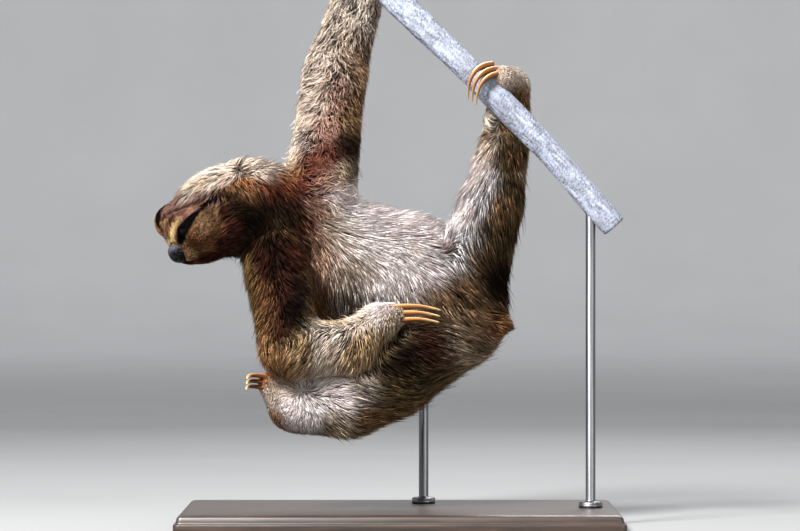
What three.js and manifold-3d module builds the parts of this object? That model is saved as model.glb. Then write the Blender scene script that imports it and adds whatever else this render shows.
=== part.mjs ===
// A three-toed sloth, life size, hanging from a cut length of branch by its left hand and left
// foot, with its belly towards -Y and its head towards -X. Its right forearm lies across the belly
// and its right leg is drawn up under it. A flat base with two rods carries the branch and body.
//
// Millimetres, +Z up. The origin is the centre of the underside of the base.
// The flesh solids reach out to the tips of the coat.

import * as THREE from 'three';
import { mergeVertices } from 'three/addons/utils/BufferGeometryUtils.js';
import Module from 'manifold-3d';

const wasm = await Module();
wasm.setup();

// ---------------------------------------------------------------- driving dimensions

const at = (x, y, z) => new THREE.Vector3(x, y, z);

// Joints and the middles of the trunk: x to the animal's rump, y away from its belly, z up.
const PLACE = {
  neckTop: at(-150, 4, 314),
  neckBase: at(-104, 18, 310),
  chest: at(-68, 36, 271),
  belly: at(4, 42, 237),
  rump: at(58, 26, 205),
  tailRoot: at(82, 10, 206),
  tailTip: at(104, -6, 200),

  leftShoulder: at(-80, 12, 336),
  leftElbow: at(-65.5, 52, 455),
  leftWrist: at(-28, 34, 574),
  leftKnuckles: at(-40, 4, 598),

  leftHip: at(62, 26, 232),
  leftKnee: at(92, 26, 318),
  leftAnkle: at(109, 28, 400),
  leftSole: at(110, 22, 438),
  leftToes: at(103, -6, 447),

  rightShoulder: at(-127, 4, 286),
  rightElbow: at(-109, -78, 177),
  rightMidForearm: at(-50, -60, 177),
  rightWrist: at(-22, -44, 202),
  rightKnuckles: at(-6, -38, 210),

  rightHip: at(58, 22, 197),
  rightKnee: at(-8, -29, 148),
  rightCalf: at(-49, -44, 125),
  rightAnkle: at(-90, -50, 123),
  rightHeel: at(-104, -54, 121),
  rightToes: at(-128, -58, 143),
};

// The head has its own frame: forward along the muzzle, to its left, and up through the crown.
const HEAD_CENTRE = at(-180, -6, 313);
const HEAD_TURN = 32;  // degrees from -X towards the -Y side
const HEAD_DIP = 32;   // degrees that the muzzle points below level
const HEAD_ROLL = 8;   // degrees that its left side hangs lower

// The trunk's ovals lie along one slanting axis, from the chest down to the rump.
const TRUNK_SLANT = 32;

const EYE = { radius: 5.5, forward: 52.5, side: 17.5, up: 15 };
const NOSE = { halfSizes: at(7.5, 11.5, 9.5), forward: 62, up: -10.5 };
const ROUND = { around: 8, down: 5 };  // faces of an eye or the nose pad

const CLAW = { rootDepth: 3.8, tipDepth: 0.7, lateness: 1.6, flatness: 0.66, sides: 6, steps: 5 };

const BRANCH = {
  course: [at(-118, -4, 648), at(-5, -6, 526), at(93, -7, 430), at(150, -9, 372), at(214, -12, 298)],
  upperRadius: 14,
  lowerRadius: 12.2,
  ridges: { count: 3, height: 0.7, twist: 9 },
  swellings: { height: 0.5, spacing: 21 },
  sides: 9,
  steps: 12,
};
const BASE = { width: 440, depth: 270, height: 18, bevel: 3 };
const ROD = { radius: 5, sides: 14 };
const BODY_ROD = { x: 24, y: 62, top: 178 };
const BRANCH_ROD = { x: 190, y: -11, top: 322 };

const GAP = 0.4;             // between any two solids
const CARVED_GAP = 0.6;      // round a limb that lies against the body
const SHORTEST_EDGE = 0.05;
const TRUNK_CELL = 20.9;     // the lattices that the surfaces are taken from
const LIMB_CELL = 18.6;
const PAW_CELL = 12.7;
const HEAD_CELL = 11.1;

// ---------------------------------------------------------------- shapes as distance fields

// A field gives the distance of a point from a surface: negative inside.

// A bone's worth of flesh: two balls and the cone that is tangent to both.
function taper(from, to, radiusFrom, radiusTo) {
  const axis = to.clone().sub(from);
  const length = axis.length();
  axis.divideScalar(length);
  const sine = (radiusFrom - radiusTo) / length;
  const cosine = Math.sqrt(1 - sine * sine);
  const offset = new THREE.Vector3();
  return (p) => {
    offset.copy(p).sub(from);
    const along = offset.dot(axis);
    const across = Math.sqrt(Math.max(offset.lengthSq() - along * along, 0));
    const foot = along * cosine - across * sine;
    if (foot < 0) return offset.length() - radiusFrom;
    if (foot > length * cosine) return p.distanceTo(to) - radiusTo;
    return across * cosine + along * sine - radiusFrom;
  };
}

// An oval with its three half-sizes along the three axes of a frame.
function oval(centre, halfSizes, axes) {
  const local = new THREE.Vector3();
  const scaled = new THREE.Vector3();
  return (p) => {
    const offset = local.copy(p).sub(centre);
    const inFrame = scaled.set(offset.dot(axes[0]), offset.dot(axes[1]), offset.dot(axes[2]));
    inFrame.divide(halfSizes);
    const reach = inFrame.length();
    const slope = inFrame.divide(halfSizes).length();
    return slope > 0 ? (reach * (reach - 1)) / slope : -halfSizes.z;
  };
}

// Joins fields, each with a fillet of about its own size to what came before it.
function blend(joined) {
  return (p) => joined.reduce((nearest, { field, fillet }) => {
    const other = field(p);
    const overlap = Math.max(fillet - Math.abs(nearest - other), 0) / fillet;
    return Math.min(nearest, other) - (overlap * overlap * fillet) / 4;
  }, Infinity);
}

const grow = (field, by) => (p) => field(p) - by;

// ---------------------------------------------------------------- the flesh

const radians = THREE.MathUtils.degToRad;

function headAxes() {
  const turn = new THREE.Euler(radians(HEAD_ROLL), radians(-HEAD_DIP), radians(HEAD_TURN), 'ZYX');
  const basis = new THREE.Matrix4().makeRotationFromEuler(turn);
  const [back, right, up] = [at(0, 0, 0), at(0, 0, 0), at(0, 0, 0)];
  basis.extractBasis(back, right, up);
  return [back.negate(), right.negate(), up];
}

function trunkAxes() {
  const slant = radians(TRUNK_SLANT);
  const along = at(Math.cos(slant), 0, -Math.sin(slant));
  return [along, at(0, 1, 0), at(Math.sin(slant), 0, Math.cos(slant))];
}

const HEAD_AXES = headAxes();
const TRUNK_AXES = trunkAxes();

function inHead(forward, side, up) {
  return HEAD_CENTRE.clone()
    .addScaledVector(HEAD_AXES[0], forward)
    .addScaledVector(HEAD_AXES[1], side)
    .addScaledVector(HEAD_AXES[2], up);
}

const headOval = (forward, side, up, ...halfSizes) =>
  oval(inHead(forward, side, up), at(...halfSizes), HEAD_AXES);

const trunkOval = (centre, ...halfSizes) => oval(centre, at(...halfSizes), TRUNK_AXES);

const blendEvenly = (fields, fillet) => blend(fields.map((field) => ({ field, fillet })));

// A sub-part has its flesh, the fillet that joins it to the ones before it, the cell of its
// lattice, and a ball that says which stretch of the whole is its own.
function bone(from, to, radiusFrom, radiusTo, fillet, cell) {
  const box = new THREE.Box3().setFromPoints([from, to]);
  return {
    field: taper(from, to, radiusFrom, radiusTo),
    seed: from.clone().lerp(to, 0.5),
    reach: from.distanceTo(to) / 2,
    box: box.expandByScalar(Math.max(radiusFrom, radiusTo)),
    fillet,
    cell,
  };
}

function lump(seed, reach, extent, field, fillet, cell) {
  const box = new THREE.Box3(seed, seed).clone().expandByScalar(extent);
  return { field, seed, reach, box, fillet, cell };
}

const P = PLACE;

const HEAD_FIELD = blendEvenly([
  headOval(0, 0, 1, 57, 49, 44),                          // crown
  taper(inHead(40, -26, 10), inHead(40, 26, 10), 18, 18),  // brow, flat and broad
  headOval(28, 0, -5, 35, 38, 33),                        // cheeks
  headOval(50, 0, -13, 17, 17, 14),                       // muzzle
  headOval(-34, 0, -5, 42, 49, 43),                       // nape
], 7);

const LEFT_FOOT_FIELD = blendEvenly([
  taper(P.leftAnkle, P.leftSole, 25, 21),
  taper(P.leftSole, P.leftToes, 21, 13),
], 6);

const RIGHT_FOREARM_FIELD = blendEvenly([
  taper(P.rightElbow, P.rightMidForearm, 30, 30),
  taper(P.rightMidForearm, P.rightWrist, 30, 21),
], 6);

const RIGHT_SHIN_FIELD = blendEvenly([
  taper(P.rightKnee, P.rightCalf, 43, 38),
  taper(P.rightCalf, P.rightAnkle, 38, 31),
], 8);

const RIGHT_FOOT_FIELD = blendEvenly([
  taper(P.rightAnkle, P.rightHeel, 30, 26),
  taper(P.rightHeel, P.rightToes, 26, 13),
], 6);

const BODY = {
  chest: lump(P.chest, 60, 92, trunkOval(P.chest, 66, 60, 64), 30, TRUNK_CELL),
  belly: lump(P.belly, 66, 100, trunkOval(P.belly, 88, 64, 79), 30, TRUNK_CELL),
  rump: lump(P.rump, 56, 84, trunkOval(P.rump, 51, 56, 59), 30, TRUNK_CELL),
  neck: bone(P.neckTop, P.neckBase, 50, 52, 20, TRUNK_CELL),
  head: lump(HEAD_CENTRE, 50, 88, HEAD_FIELD, 16, HEAD_CELL),
  left_upper_arm: bone(P.leftShoulder, P.leftElbow, 38, 33, 10, LIMB_CELL),
  left_forearm: bone(P.leftElbow, P.leftWrist, 33, 23, 10, LIMB_CELL),
  left_hand: bone(P.leftWrist, P.leftKnuckles, 22, 14, 6, PAW_CELL),
  left_thigh: bone(P.leftHip, P.leftKnee, 46, 34, 12, LIMB_CELL),
  left_shin: bone(P.leftKnee, P.leftAnkle, 34, 25, 10, LIMB_CELL),
  left_foot: lump(P.leftSole, 24, 50, LEFT_FOOT_FIELD, 6, PAW_CELL),
  tail: lump(P.tailTip, 40, 40, taper(P.tailRoot, P.tailTip, 21, 12), 10, PAW_CELL),
};

const RIGHT_ARM = {
  right_upper_arm: bone(P.rightShoulder, P.rightElbow, 39, 31, 10, LIMB_CELL),
  right_forearm: lump(P.rightMidForearm, 40, 84, RIGHT_FOREARM_FIELD, 10, LIMB_CELL),
  right_hand: bone(P.rightWrist, P.rightKnuckles, 20, 14, 6, PAW_CELL),
};

const RIGHT_LEG = {
  right_thigh: bone(P.rightHip, P.rightKnee, 43, 43, 10, LIMB_CELL),
  right_shin: lump(P.rightCalf, 40, 84, RIGHT_SHIN_FIELD, 10, LIMB_CELL),
  right_foot: lump(P.rightHeel, 24, 60, RIGHT_FOOT_FIELD, 6, PAW_CELL),
};

// ---------------------------------------------------------------- from field to solid

const AXIS_STEPS = [at(1, 0, 0), at(0, 1, 0), at(0, 0, 1)];

// Moves a point onto the field's zero surface, down the slope of the field.
function settle(point, field, furthest) {
  const step = 0.05;
  const passes = 3;
  const gentlestSlope = 0.25;
  const start = point.clone();
  for (let pass = 0; pass < passes; pass += 1) {
    const value = field(point);
    const slope = at(0, 0, 0);
    AXIS_STEPS.forEach((axis, i) => {
      const ahead = field(point.clone().addScaledVector(axis, step));
      slope.setComponent(i, (ahead - value) / step);
    });
    point.addScaledVector(slope, -value / Math.max(slope.lengthSq(), gentlestSlope));
  }
  const moved = point.clone().sub(start).clampLength(0, furthest);
  return start.add(moved);
}

// A surface net: one vertex in each lattice cell that the surface crosses, and one four-sided
// face round each lattice edge that crosses it. The whole net may stand off by a small gap.
function surfaceNet(field, box, cell, gap) {
  const settledField = grow(field, gap);
  const rim = 2;  // lattice points at each end that count as outside, so that the net closes
  const margin = rim + 1;
  const low = box.min.clone().divideScalar(cell).floor().subScalar(margin);
  const high = box.max.clone().divideScalar(cell).ceil().addScalar(margin);
  const size = high.clone().sub(low).addScalar(1);
  const index = (i, j, k) => i + size.x * (j + size.y * k);
  const place = (i, j, k) => at(low.x + i, low.y + j, low.z + k).multiplyScalar(cell);

  const values = new Float64Array(size.x * size.y * size.z).fill(cell);
  for (let k = rim; k < size.z - rim; k += 1) {
    for (let j = rim; j < size.y - rim; j += 1) {
      for (let i = rim; i < size.x - rim; i += 1) {
        values[index(i, j, k)] = field(place(i, j, k));
      }
    }
  }

  const vertices = [];
  const vertexOf = new Map();
  const cellVertex = (i, j, k) => {
    const key = index(i, j, k);
    if (vertexOf.has(key)) return vertexOf.get(key);
    const middle = at(0, 0, 0);
    let crossings = 0;
    for (let axis = 0; axis < 3; axis += 1) {
      for (let side = 0; side < 4; side += 1) {
        const corner = [i, j, k];
        corner[(axis + 1) % 3] += side & 1;
        corner[(axis + 2) % 3] += side >> 1;
        const next = [...corner];
        next[axis] += 1;
        const a = values[index(...corner)];
        const b = values[index(...next)];
        if (a < 0 === b < 0) continue;
        middle.add(place(...corner).lerp(place(...next), a / (a - b)));
        crossings += 1;
      }
    }
    const vertex = settle(middle.divideScalar(crossings), settledField, cell / 2);
    vertexOf.set(key, vertices.length);
    vertices.push(vertex);
    return vertices.length - 1;
  };

  const triangles = [];
  const addQuad = (corners) => {
    const [a, b, c, d] = corners.map((vertex) => vertices[vertex]);
    const first = a.distanceToSquared(c) < b.distanceToSquared(d);
    const order = first ? [0, 1, 2, 0, 2, 3] : [1, 2, 3, 1, 3, 0];
    triangles.push(...order.map((corner) => corners[corner]));
  };
  for (let k = 1; k < size.z - 1; k += 1) {
    for (let j = 1; j < size.y - 1; j += 1) {
      for (let i = 1; i < size.x - 1; i += 1) {
        for (let axis = 0; axis < 3; axis += 1) {
          const next = [i, j, k];
          next[axis] += 1;
          const here = values[index(i, j, k)] < 0;
          if (here === values[index(...next)] < 0) continue;
          const round = [[-1, -1], [0, -1], [0, 0], [-1, 0]].map(([second, third]) => {
            const around = [i, j, k];
            around[(axis + 1) % 3] += second;
            around[(axis + 2) % 3] += third;
            return cellVertex(...around);
          });
          addQuad(here ? round : round.reverse());
        }
      }
    }
  }
  return { points: vertices.flatMap((vertex) => vertex.toArray()), triangles };
}

function solidFrom({ points, triangles }) {
  const mesh = new wasm.Mesh({
    numProp: 3,
    vertProperties: new Float32Array(points),
    triVerts: new Uint32Array(triangles),
  });
  mesh.merge();
  return new wasm.Manifold(mesh);
}

function solidFromGeometry(geometry) {
  const bare = geometry.clone();
  bare.deleteAttribute('normal');
  bare.deleteAttribute('uv');
  const merged = mergeVertices(bare);
  return solidFrom({ points: merged.attributes.position.array, triangles: merged.index.array });
}

// The block of space that lies beyond a plane.
function beyond(point, normal) {
  const side = 1200;
  const turn = new THREE.Quaternion().setFromUnitVectors(at(0, 0, 1), normal);
  const block = new THREE.BoxGeometry(side, side, side);
  block.translate(0, 0, side / 2).applyQuaternion(turn).translate(...point.toArray());
  return solidFromGeometry(block);
}

// Two neighbours part at the plane where their balls have equal power.
function partingPlane(piece, neighbour) {
  const across = neighbour.seed.clone().sub(piece.seed);
  const distance = across.length();
  const powers = piece.reach ** 2 - neighbour.reach ** 2;
  const toPlane = (distance * distance + powers) / (2 * distance);
  const normal = across.divideScalar(distance);
  const point = piece.seed.clone().addScaledVector(normal, toPlane - GAP / 2);
  return { point, normal };
}

// What is left of a solid after its cuts, without crumbs or edges too short to matter.
function largestBody(solid) {
  const largest = solid.decompose().reduce((a, b) => (b.volume() > a.volume() ? b : a));
  return largest.simplify(SHORTEST_EDGE);
}

// One sub-part: the whole group's surface round it, cut at the planes to its neighbours.
function partOf(group, name, field) {
  const piece = group[name];
  let solid = solidFrom(surfaceNet(field, piece.box, piece.cell, 0));
  for (const [other, neighbour] of Object.entries(group)) {
    if (other === name) continue;
    const { point, normal } = partingPlane(piece, neighbour);
    solid = solid.subtract(beyond(point, normal));
  }
  return largestBody(solid);
}

// ---------------------------------------------------------------- lofted pieces

// Rings of points along a curve, closed at both ends. Angle 0 of a ring is in the plane of the
// curve, and a quarter turn is to its side.
function loft(curve, side, radiusAt, sides, steps) {
  const points = [];
  const triangles = [];
  for (let step = 0; step <= steps; step += 1) {
    const middle = curve.getPointAt(step / steps);
    const inPlane = side.clone().cross(curve.getTangentAt(step / steps)).normalize();
    for (let corner = 0; corner < sides; corner += 1) {
      const angle = (corner / sides) * 2 * Math.PI;
      const radius = radiusAt(step / steps, angle);
      const point = middle.clone()
        .addScaledVector(inPlane, Math.cos(angle) * radius)
        .addScaledVector(side, Math.sin(angle) * radius);
      points.push(...point.toArray());
      if (step === steps) continue;
      const near = step * sides + corner;
      const next = step * sides + ((corner + 1) % sides);
      triangles.push(near, next, next + sides, near, next + sides, near + sides);
    }
  }
  const last = steps * sides;
  for (let corner = 1; corner < sides - 1; corner += 1) {
    triangles.push(0, corner + 1, corner);
    triangles.push(last, last + corner, last + corner + 1);
  }
  return solidFrom({ points, triangles });
}

// A claw is deeper than it is wide, and narrows late.
function claw(root, bend, tip) {
  const curve = new THREE.QuadraticBezierCurve3(root, bend, tip);
  const side = bend.clone().sub(root).cross(tip.clone().sub(root)).normalize();
  const radiusAt = (t, angle) => {
    const depth = THREE.MathUtils.lerp(CLAW.rootDepth, CLAW.tipDepth, t ** CLAW.lateness);
    return depth / Math.hypot(Math.cos(angle), Math.sin(angle) / CLAW.flatness);
  };
  return loft(curve, side, radiusAt, CLAW.sides, CLAW.steps);
}

// The branch thins a little to its lower end and is never quite round.
function branch(extra) {
  const { course, ridges, swellings, sides, steps } = BRANCH;
  const radiusAt = (t, angle) =>
    THREE.MathUtils.lerp(BRANCH.upperRadius, BRANCH.lowerRadius, t)
    + ridges.height * Math.sin(ridges.count * angle + ridges.twist * t)
    + swellings.height * Math.sin(swellings.spacing * t)
    + extra;
  return loft(new THREE.CatmullRomCurve3(course), at(0, 1, 0), radiusAt, sides, steps);
}

function rod(x, y, bottom, top, radius) {
  const geometry = new THREE.CylinderGeometry(radius, radius, top - bottom, ROD.sides);
  geometry.rotateX(Math.PI / 2).translate(x, y, (top + bottom) / 2);
  return solidFromGeometry(geometry);
}

function base() {
  const half = { x: BASE.width / 2 - BASE.bevel, y: BASE.depth / 2 - BASE.bevel };
  const outline = new THREE.Shape();
  outline.moveTo(-half.x, -half.y).lineTo(half.x, -half.y).lineTo(half.x, half.y);
  outline.lineTo(-half.x, half.y).closePath();
  const geometry = new THREE.ExtrudeGeometry(outline, {
    depth: BASE.height - BASE.bevel,
    bevelSize: BASE.bevel,
    bevelThickness: BASE.bevel,
    bevelSegments: 1,
    steps: 1,
  });
  return solidFromGeometry(geometry).subtract(beyond(at(0, 0, 0), at(0, 0, -1)));
}

// ---------------------------------------------------------------- the claws

// Three claws side by side: the first one's root, bend and tip, and the steps to the next.
const CLAW_SETS = {
  left_hand: {
    root: at(-33, -5, 592), bend: at(-41, -37, 583), tip: at(-62, -21, 564),
    rootStep: at(-6, 0, 6), tipStep: at(-5.5, 0, 6),
  },
  right_hand: {
    root: at(-10, -42, 217), bend: at(16, -45, 222), tip: at(41, -36, 215),
    rootStep: at(1, 0, -7), tipStep: at(-1, -1, -6),
  },
  left_foot: {
    root: at(98, -12, 450), bend: at(76, -44, 447), tip: at(76, -20, 419),
    rootStep: at(-5.6, -1.2, 4.5), tipStep: at(-4, 0.5, 3),
  },
  right_foot: {
    root: at(-130, -64, 149.5), bend: at(-150, -70, 154), tip: at(-149, -96, 149),
    rootStep: at(-0.5, 1, -5.7), tipStep: at(-0.5, 0.5, -5.2),
  },
};

const CLAW_NUMBERS = [1, 2, 3];

function clawsOf(limb) {
  const { root, bend, tip, rootStep, tipStep } = CLAW_SETS[limb];
  const bendStep = rootStep.clone().add(tipStep).multiplyScalar(0.5);
  const shifted = (point, step, number) => point.clone().addScaledVector(step, number - 1);
  return CLAW_NUMBERS.map((number) => [
    `${limb}_claw_${number}`,
    claw(
      shifted(root, rootStep, number),
      shifted(bend, bendStep, number),
      shifted(tip, tipStep, number),
    ),
  ]);
}

// ---------------------------------------------------------------- putting it together

const MATERIAL = {
  brownFur: new THREE.MeshStandardMaterial({ color: 0x7a5a42, roughness: 0.9, metalness: 0 }),
  paleFur: new THREE.MeshStandardMaterial({ color: 0x9c8c78, roughness: 0.9, metalness: 0 }),
  claw: new THREE.MeshStandardMaterial({ color: 0xa9773f, roughness: 0.4, metalness: 0 }),
  eye: new THREE.MeshStandardMaterial({ color: 0x0d0907, roughness: 0.1, metalness: 0 }),
  nose: new THREE.MeshStandardMaterial({ color: 0x15110f, roughness: 0.3, metalness: 0 }),
  bark: new THREE.MeshStandardMaterial({ color: 0x8f8a8c, roughness: 0.85, metalness: 0 }),
  wood: new THREE.MeshStandardMaterial({ color: 0x2f2a27, roughness: 0.5, metalness: 0 }),
  steel: new THREE.MeshStandardMaterial({ color: 0x4a4c4e, roughness: 0.35, metalness: 1 }),
};

const PALE_PARTS = /chest|belly|thigh|shin|left_forearm/;

const sloth = new THREE.Group();

function addMesh(name, solid, material) {
  const { vertProperties, triVerts } = solid.getMesh();
  const geometry = new THREE.BufferGeometry();
  geometry.setAttribute('position', new THREE.BufferAttribute(new Float32Array(vertProperties), 3));
  geometry.setIndex(new THREE.BufferAttribute(new Uint32Array(triVerts), 1));
  geometry.computeVertexNormals();
  const mesh = new THREE.Mesh(geometry, material);
  mesh.name = name;
  sloth.add(mesh);
}

function eyeBall(side, extra) {
  const geometry = new THREE.SphereGeometry(EYE.radius + extra, ROUND.around, ROUND.down);
  geometry.translate(...inHead(EYE.forward, side * EYE.side, EYE.up).toArray());
  return solidFromGeometry(geometry);
}

function nosePad(extra) {
  const geometry = new THREE.SphereGeometry(1, ROUND.around, ROUND.down);
  const halfSizes = NOSE.halfSizes.clone().addScalar(extra);
  const basis = new THREE.Matrix4().makeBasis(...HEAD_AXES);
  geometry.scale(...halfSizes.toArray()).applyMatrix4(basis);
  geometry.translate(...inHead(NOSE.forward, 0, NOSE.up).toArray());
  return solidFromGeometry(geometry);
}

const bodyRod = (extra) =>
  rod(BODY_ROD.x, BODY_ROD.y, BASE.height + GAP, BODY_ROD.top + extra, ROD.radius + extra);

const branchRod = (extra) =>
  rod(BRANCH_ROD.x, BRANCH_ROD.y, BASE.height + GAP, BRANCH_ROD.top + extra, ROD.radius + extra);

// The space that a limb needs: its own nets, all standing off by the gap.
function roomFor(group) {
  const field = blend(Object.values(group));
  return Object.values(group)
    .map((piece) => solidFrom(surfaceNet(field, piece.box, piece.cell, CARVED_GAP)))
    .reduce((room, solid) => room.add(solid));
}

function addGroup(group, cutters) {
  const field = blend(Object.values(group));
  for (const name of Object.keys(group)) {
    const whole = partOf(group, name, field);
    const cut = cutters.reduce((solid, cutter) => solid.subtract(cutter), whole);
    addMesh(name, largestBody(cut), PALE_PARTS.test(name) ? MATERIAL.paleFur : MATERIAL.brownFur);
  }
}

// The claws start at the surface of their hand or foot.
function addClaws(limb, group) {
  const field = blend(Object.values(group));
  const paw = solidFrom(surfaceNet(field, group[limb].box, PAW_CELL, GAP));
  for (const [name, solid] of clawsOf(limb)) {
    addMesh(name, largestBody(solid.subtract(paw)), MATERIAL.claw);
  }
}

// What lies against a solid keeps a gap to a slightly larger copy of it.
const armRoom = roomFor(RIGHT_ARM);
const legRoom = roomFor(RIGHT_LEG);
const faceRoom = [eyeBall(1, GAP), eyeBall(-1, GAP), nosePad(GAP)];

addGroup(RIGHT_ARM, []);
addGroup(RIGHT_LEG, [armRoom]);
addGroup(BODY, [armRoom, legRoom, branch(GAP), bodyRod(GAP), ...faceRoom]);

addClaws('left_hand', BODY);
addClaws('right_hand', RIGHT_ARM);
addClaws('left_foot', BODY);
addClaws('right_foot', RIGHT_LEG);

addMesh('left_eye', eyeBall(1, 0), MATERIAL.eye);
addMesh('right_eye', eyeBall(-1, 0), MATERIAL.eye);
addMesh('nose', nosePad(0), MATERIAL.nose);

addMesh('perch', branch(0).subtract(branchRod(GAP)), MATERIAL.bark);
addMesh('stand_base', base(), MATERIAL.wood);
addMesh('stand_rod_body', bodyRod(0), MATERIAL.steel);
addMesh('stand_rod_perch', branchRod(0), MATERIAL.steel);

export default sloth;
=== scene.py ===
"""A three-toed sloth on its perch: one skin, a coat of tufts, face, claws, branch and stand.

Metres, +Z up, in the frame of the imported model: the belly faces -Y and the head points to -X.
The skin is one closed surface round the same tapers and ovals as the solids, each drawn in by
the depth of the coat there. Tufts grow from it, out to where the solids end.
"""

import itertools
import math
from collections import namedtuple

import bpy
import numpy as np
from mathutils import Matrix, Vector


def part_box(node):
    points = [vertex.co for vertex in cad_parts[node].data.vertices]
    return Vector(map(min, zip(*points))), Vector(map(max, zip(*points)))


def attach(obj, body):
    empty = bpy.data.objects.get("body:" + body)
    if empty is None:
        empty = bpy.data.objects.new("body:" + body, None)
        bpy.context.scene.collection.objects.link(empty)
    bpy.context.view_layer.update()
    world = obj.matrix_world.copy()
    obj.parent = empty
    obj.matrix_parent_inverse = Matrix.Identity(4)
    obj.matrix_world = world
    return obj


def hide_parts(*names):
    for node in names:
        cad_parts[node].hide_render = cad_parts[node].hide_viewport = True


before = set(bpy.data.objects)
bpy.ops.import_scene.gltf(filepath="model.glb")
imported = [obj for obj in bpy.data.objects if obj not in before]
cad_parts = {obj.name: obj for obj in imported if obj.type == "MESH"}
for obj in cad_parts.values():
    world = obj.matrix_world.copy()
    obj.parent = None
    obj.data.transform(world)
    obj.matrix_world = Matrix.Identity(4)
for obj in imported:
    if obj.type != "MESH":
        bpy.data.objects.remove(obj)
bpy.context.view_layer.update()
random = np.random.default_rng(11)


# ---------------------------------------------------------------- places

def at(x, y, z):
    return np.array((x, y, z), float)


PLACE = {
    "neck_top": at(-0.150, 0.004, 0.314),
    "neck_base": at(-0.104, 0.018, 0.310),
    "chest": at(-0.068, 0.036, 0.271),
    "belly": at(0.004, 0.042, 0.237),
    "rump": at(0.058, 0.026, 0.205),
    "tail_root": at(0.082, 0.010, 0.206),
    "tail_tip": at(0.104, -0.006, 0.200),

    "left_shoulder": at(-0.080, 0.012, 0.336),
    "left_elbow": at(-0.0655, 0.052, 0.455),
    "left_wrist": at(-0.028, 0.034, 0.574),
    "left_knuckles": at(-0.040, 0.004, 0.598),

    "left_hip": at(0.062, 0.026, 0.232),
    "left_knee": at(0.092, 0.026, 0.318),
    "left_ankle": at(0.109, 0.028, 0.400),
    "left_sole": at(0.110, 0.022, 0.438),
    "left_toes": at(0.103, -0.006, 0.447),

    "right_shoulder": at(-0.127, 0.004, 0.286),
    "right_elbow": at(-0.109, -0.078, 0.177),
    "right_mid_forearm": at(-0.050, -0.060, 0.177),
    "right_wrist": at(-0.022, -0.044, 0.202),
    "right_knuckles": at(-0.006, -0.038, 0.210),

    "right_hip": at(0.058, 0.022, 0.197),
    "right_knee": at(-0.008, -0.029, 0.148),
    "right_calf": at(-0.049, -0.044, 0.125),
    "right_ankle": at(-0.090, -0.050, 0.123),
    "right_heel": at(-0.104, -0.054, 0.121),
    "right_toes": at(-0.128, -0.058, 0.143),
}

HEAD_CENTRE = at(-0.180, -0.006, 0.313)
HEAD_TURN = math.radians(32)
HEAD_DIP = math.radians(32)
HEAD_ROLL = math.radians(8)
TRUNK_SLANT = math.radians(32)

EYE = {"radius": 0.0055, "forward": 0.0525, "side": 0.0175, "up": 0.015}
NOSE = {"half_sizes": at(0.0075, 0.0115, 0.0095), "forward": 0.062, "up": -0.0105}


def turned(axis, angle):
    """The matrix of a turn about X, Y or Z."""
    c, s = math.cos(angle), math.sin(angle)
    rows = {
        "x": [(1, 0, 0), (0, c, -s), (0, s, c)],
        "y": [(c, 0, s), (0, 1, 0), (-s, 0, c)],
        "z": [(c, -s, 0), (s, c, 0), (0, 0, 1)],
    }
    return np.array(rows[axis])


def head_axes():
    """Rows: forward along the muzzle, to the animal's left, and up through the crown."""
    turn = turned("z", HEAD_TURN) @ turned("y", -HEAD_DIP) @ turned("x", HEAD_ROLL)
    return np.array([-turn[:, 0], -turn[:, 1], turn[:, 2]])


HEAD_AXES = head_axes()
TRUNK_AXES = turned("y", TRUNK_SLANT).T


def in_head(forward, side, up):
    """A place given in the head's own frame."""
    return HEAD_CENTRE + np.array((forward, side, up)) @ HEAD_AXES


def head_frame(points):
    return (points - HEAD_CENTRE) @ HEAD_AXES.T


# ---------------------------------------------------------------- shapes as distance fields

# A field takes points and "bare": 0 for the tips of the coat, 1 for the skin, and gives each
# point's distance, negative inside.

def norms(vectors):
    return np.sqrt(np.einsum("...i,...i->...", vectors, vectors))


def unit(vectors):
    return vectors / np.maximum(norms(vectors), 1e-9)[..., None]


def mixed(a, b, share):
    return a + (b - a) * share


def smooth_step(low, high, value):
    t = np.clip((value - low) / (high - low), 0, 1)
    return t * t * (3 - 2 * t)


def smooth_min(a, b, fillet):
    overlap = np.maximum(fillet - np.abs(a - b), 0) / fillet
    return np.minimum(a, b) - overlap * overlap * fillet / 4


def taper(start, end, radii, depths):
    """Two balls and the cone tangent to both, with the depth of the coat at each end."""
    span = np.linalg.norm(end - start)
    axis = (end - start) / span

    def distance(points, bare):
        near, far = (radius - bare * depth for radius, depth in zip(radii, depths))
        sine = (near - far) / span
        cosine = math.sqrt(1 - sine * sine)
        offset = points - start
        along = offset @ axis
        squared = np.einsum("...i,...i->...", offset, offset)
        across = np.sqrt(np.maximum(squared - along * along, 0))
        foot = along * cosine - across * sine
        side = across * cosine + along * sine - near
        cap = np.where(foot < 0, np.sqrt(squared) - near, norms(points - end) - far)
        return np.where((foot < 0) | (foot > span * cosine), cap, side)

    return distance


def oval(centre, half_sizes, axes, depth):
    def distance(points, bare):
        halves = np.array(half_sizes) - bare * depth
        scaled = ((points - centre) @ axes.T) / halves
        reach = norms(scaled)
        return reach * (reach - 1) / np.maximum(norms(scaled / halves), 1e-9)

    return distance


def blended(fields, fillet):
    def distance(points, bare):
        nearest = fields[0](points, bare)
        for field in fields[1:]:
            nearest = smooth_min(nearest, field(points, bare), fillet)
        return nearest

    return distance


Flesh = namedtuple("Flesh", "distance fillet low high start end")


def bone(start, end, radii, depths, fillet):
    a, b, reach = PLACE[start], PLACE[end], max(radii)
    low, high = np.minimum(a, b) - reach, np.maximum(a, b) + reach
    return Flesh(taper(a, b, radii, depths), fillet, low, high, a, b)


def lump(centre, extent, distance, fillet, way):
    """Flesh that isn't one taper. way is the axis that its coat is unwrapped about."""
    return Flesh(distance, fillet, centre - extent, centre + extent,
                 centre - way * extent, centre + way * extent)


TRUNK_FILLET = 0.030     # how softly the trunk's parts run into each other


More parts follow.
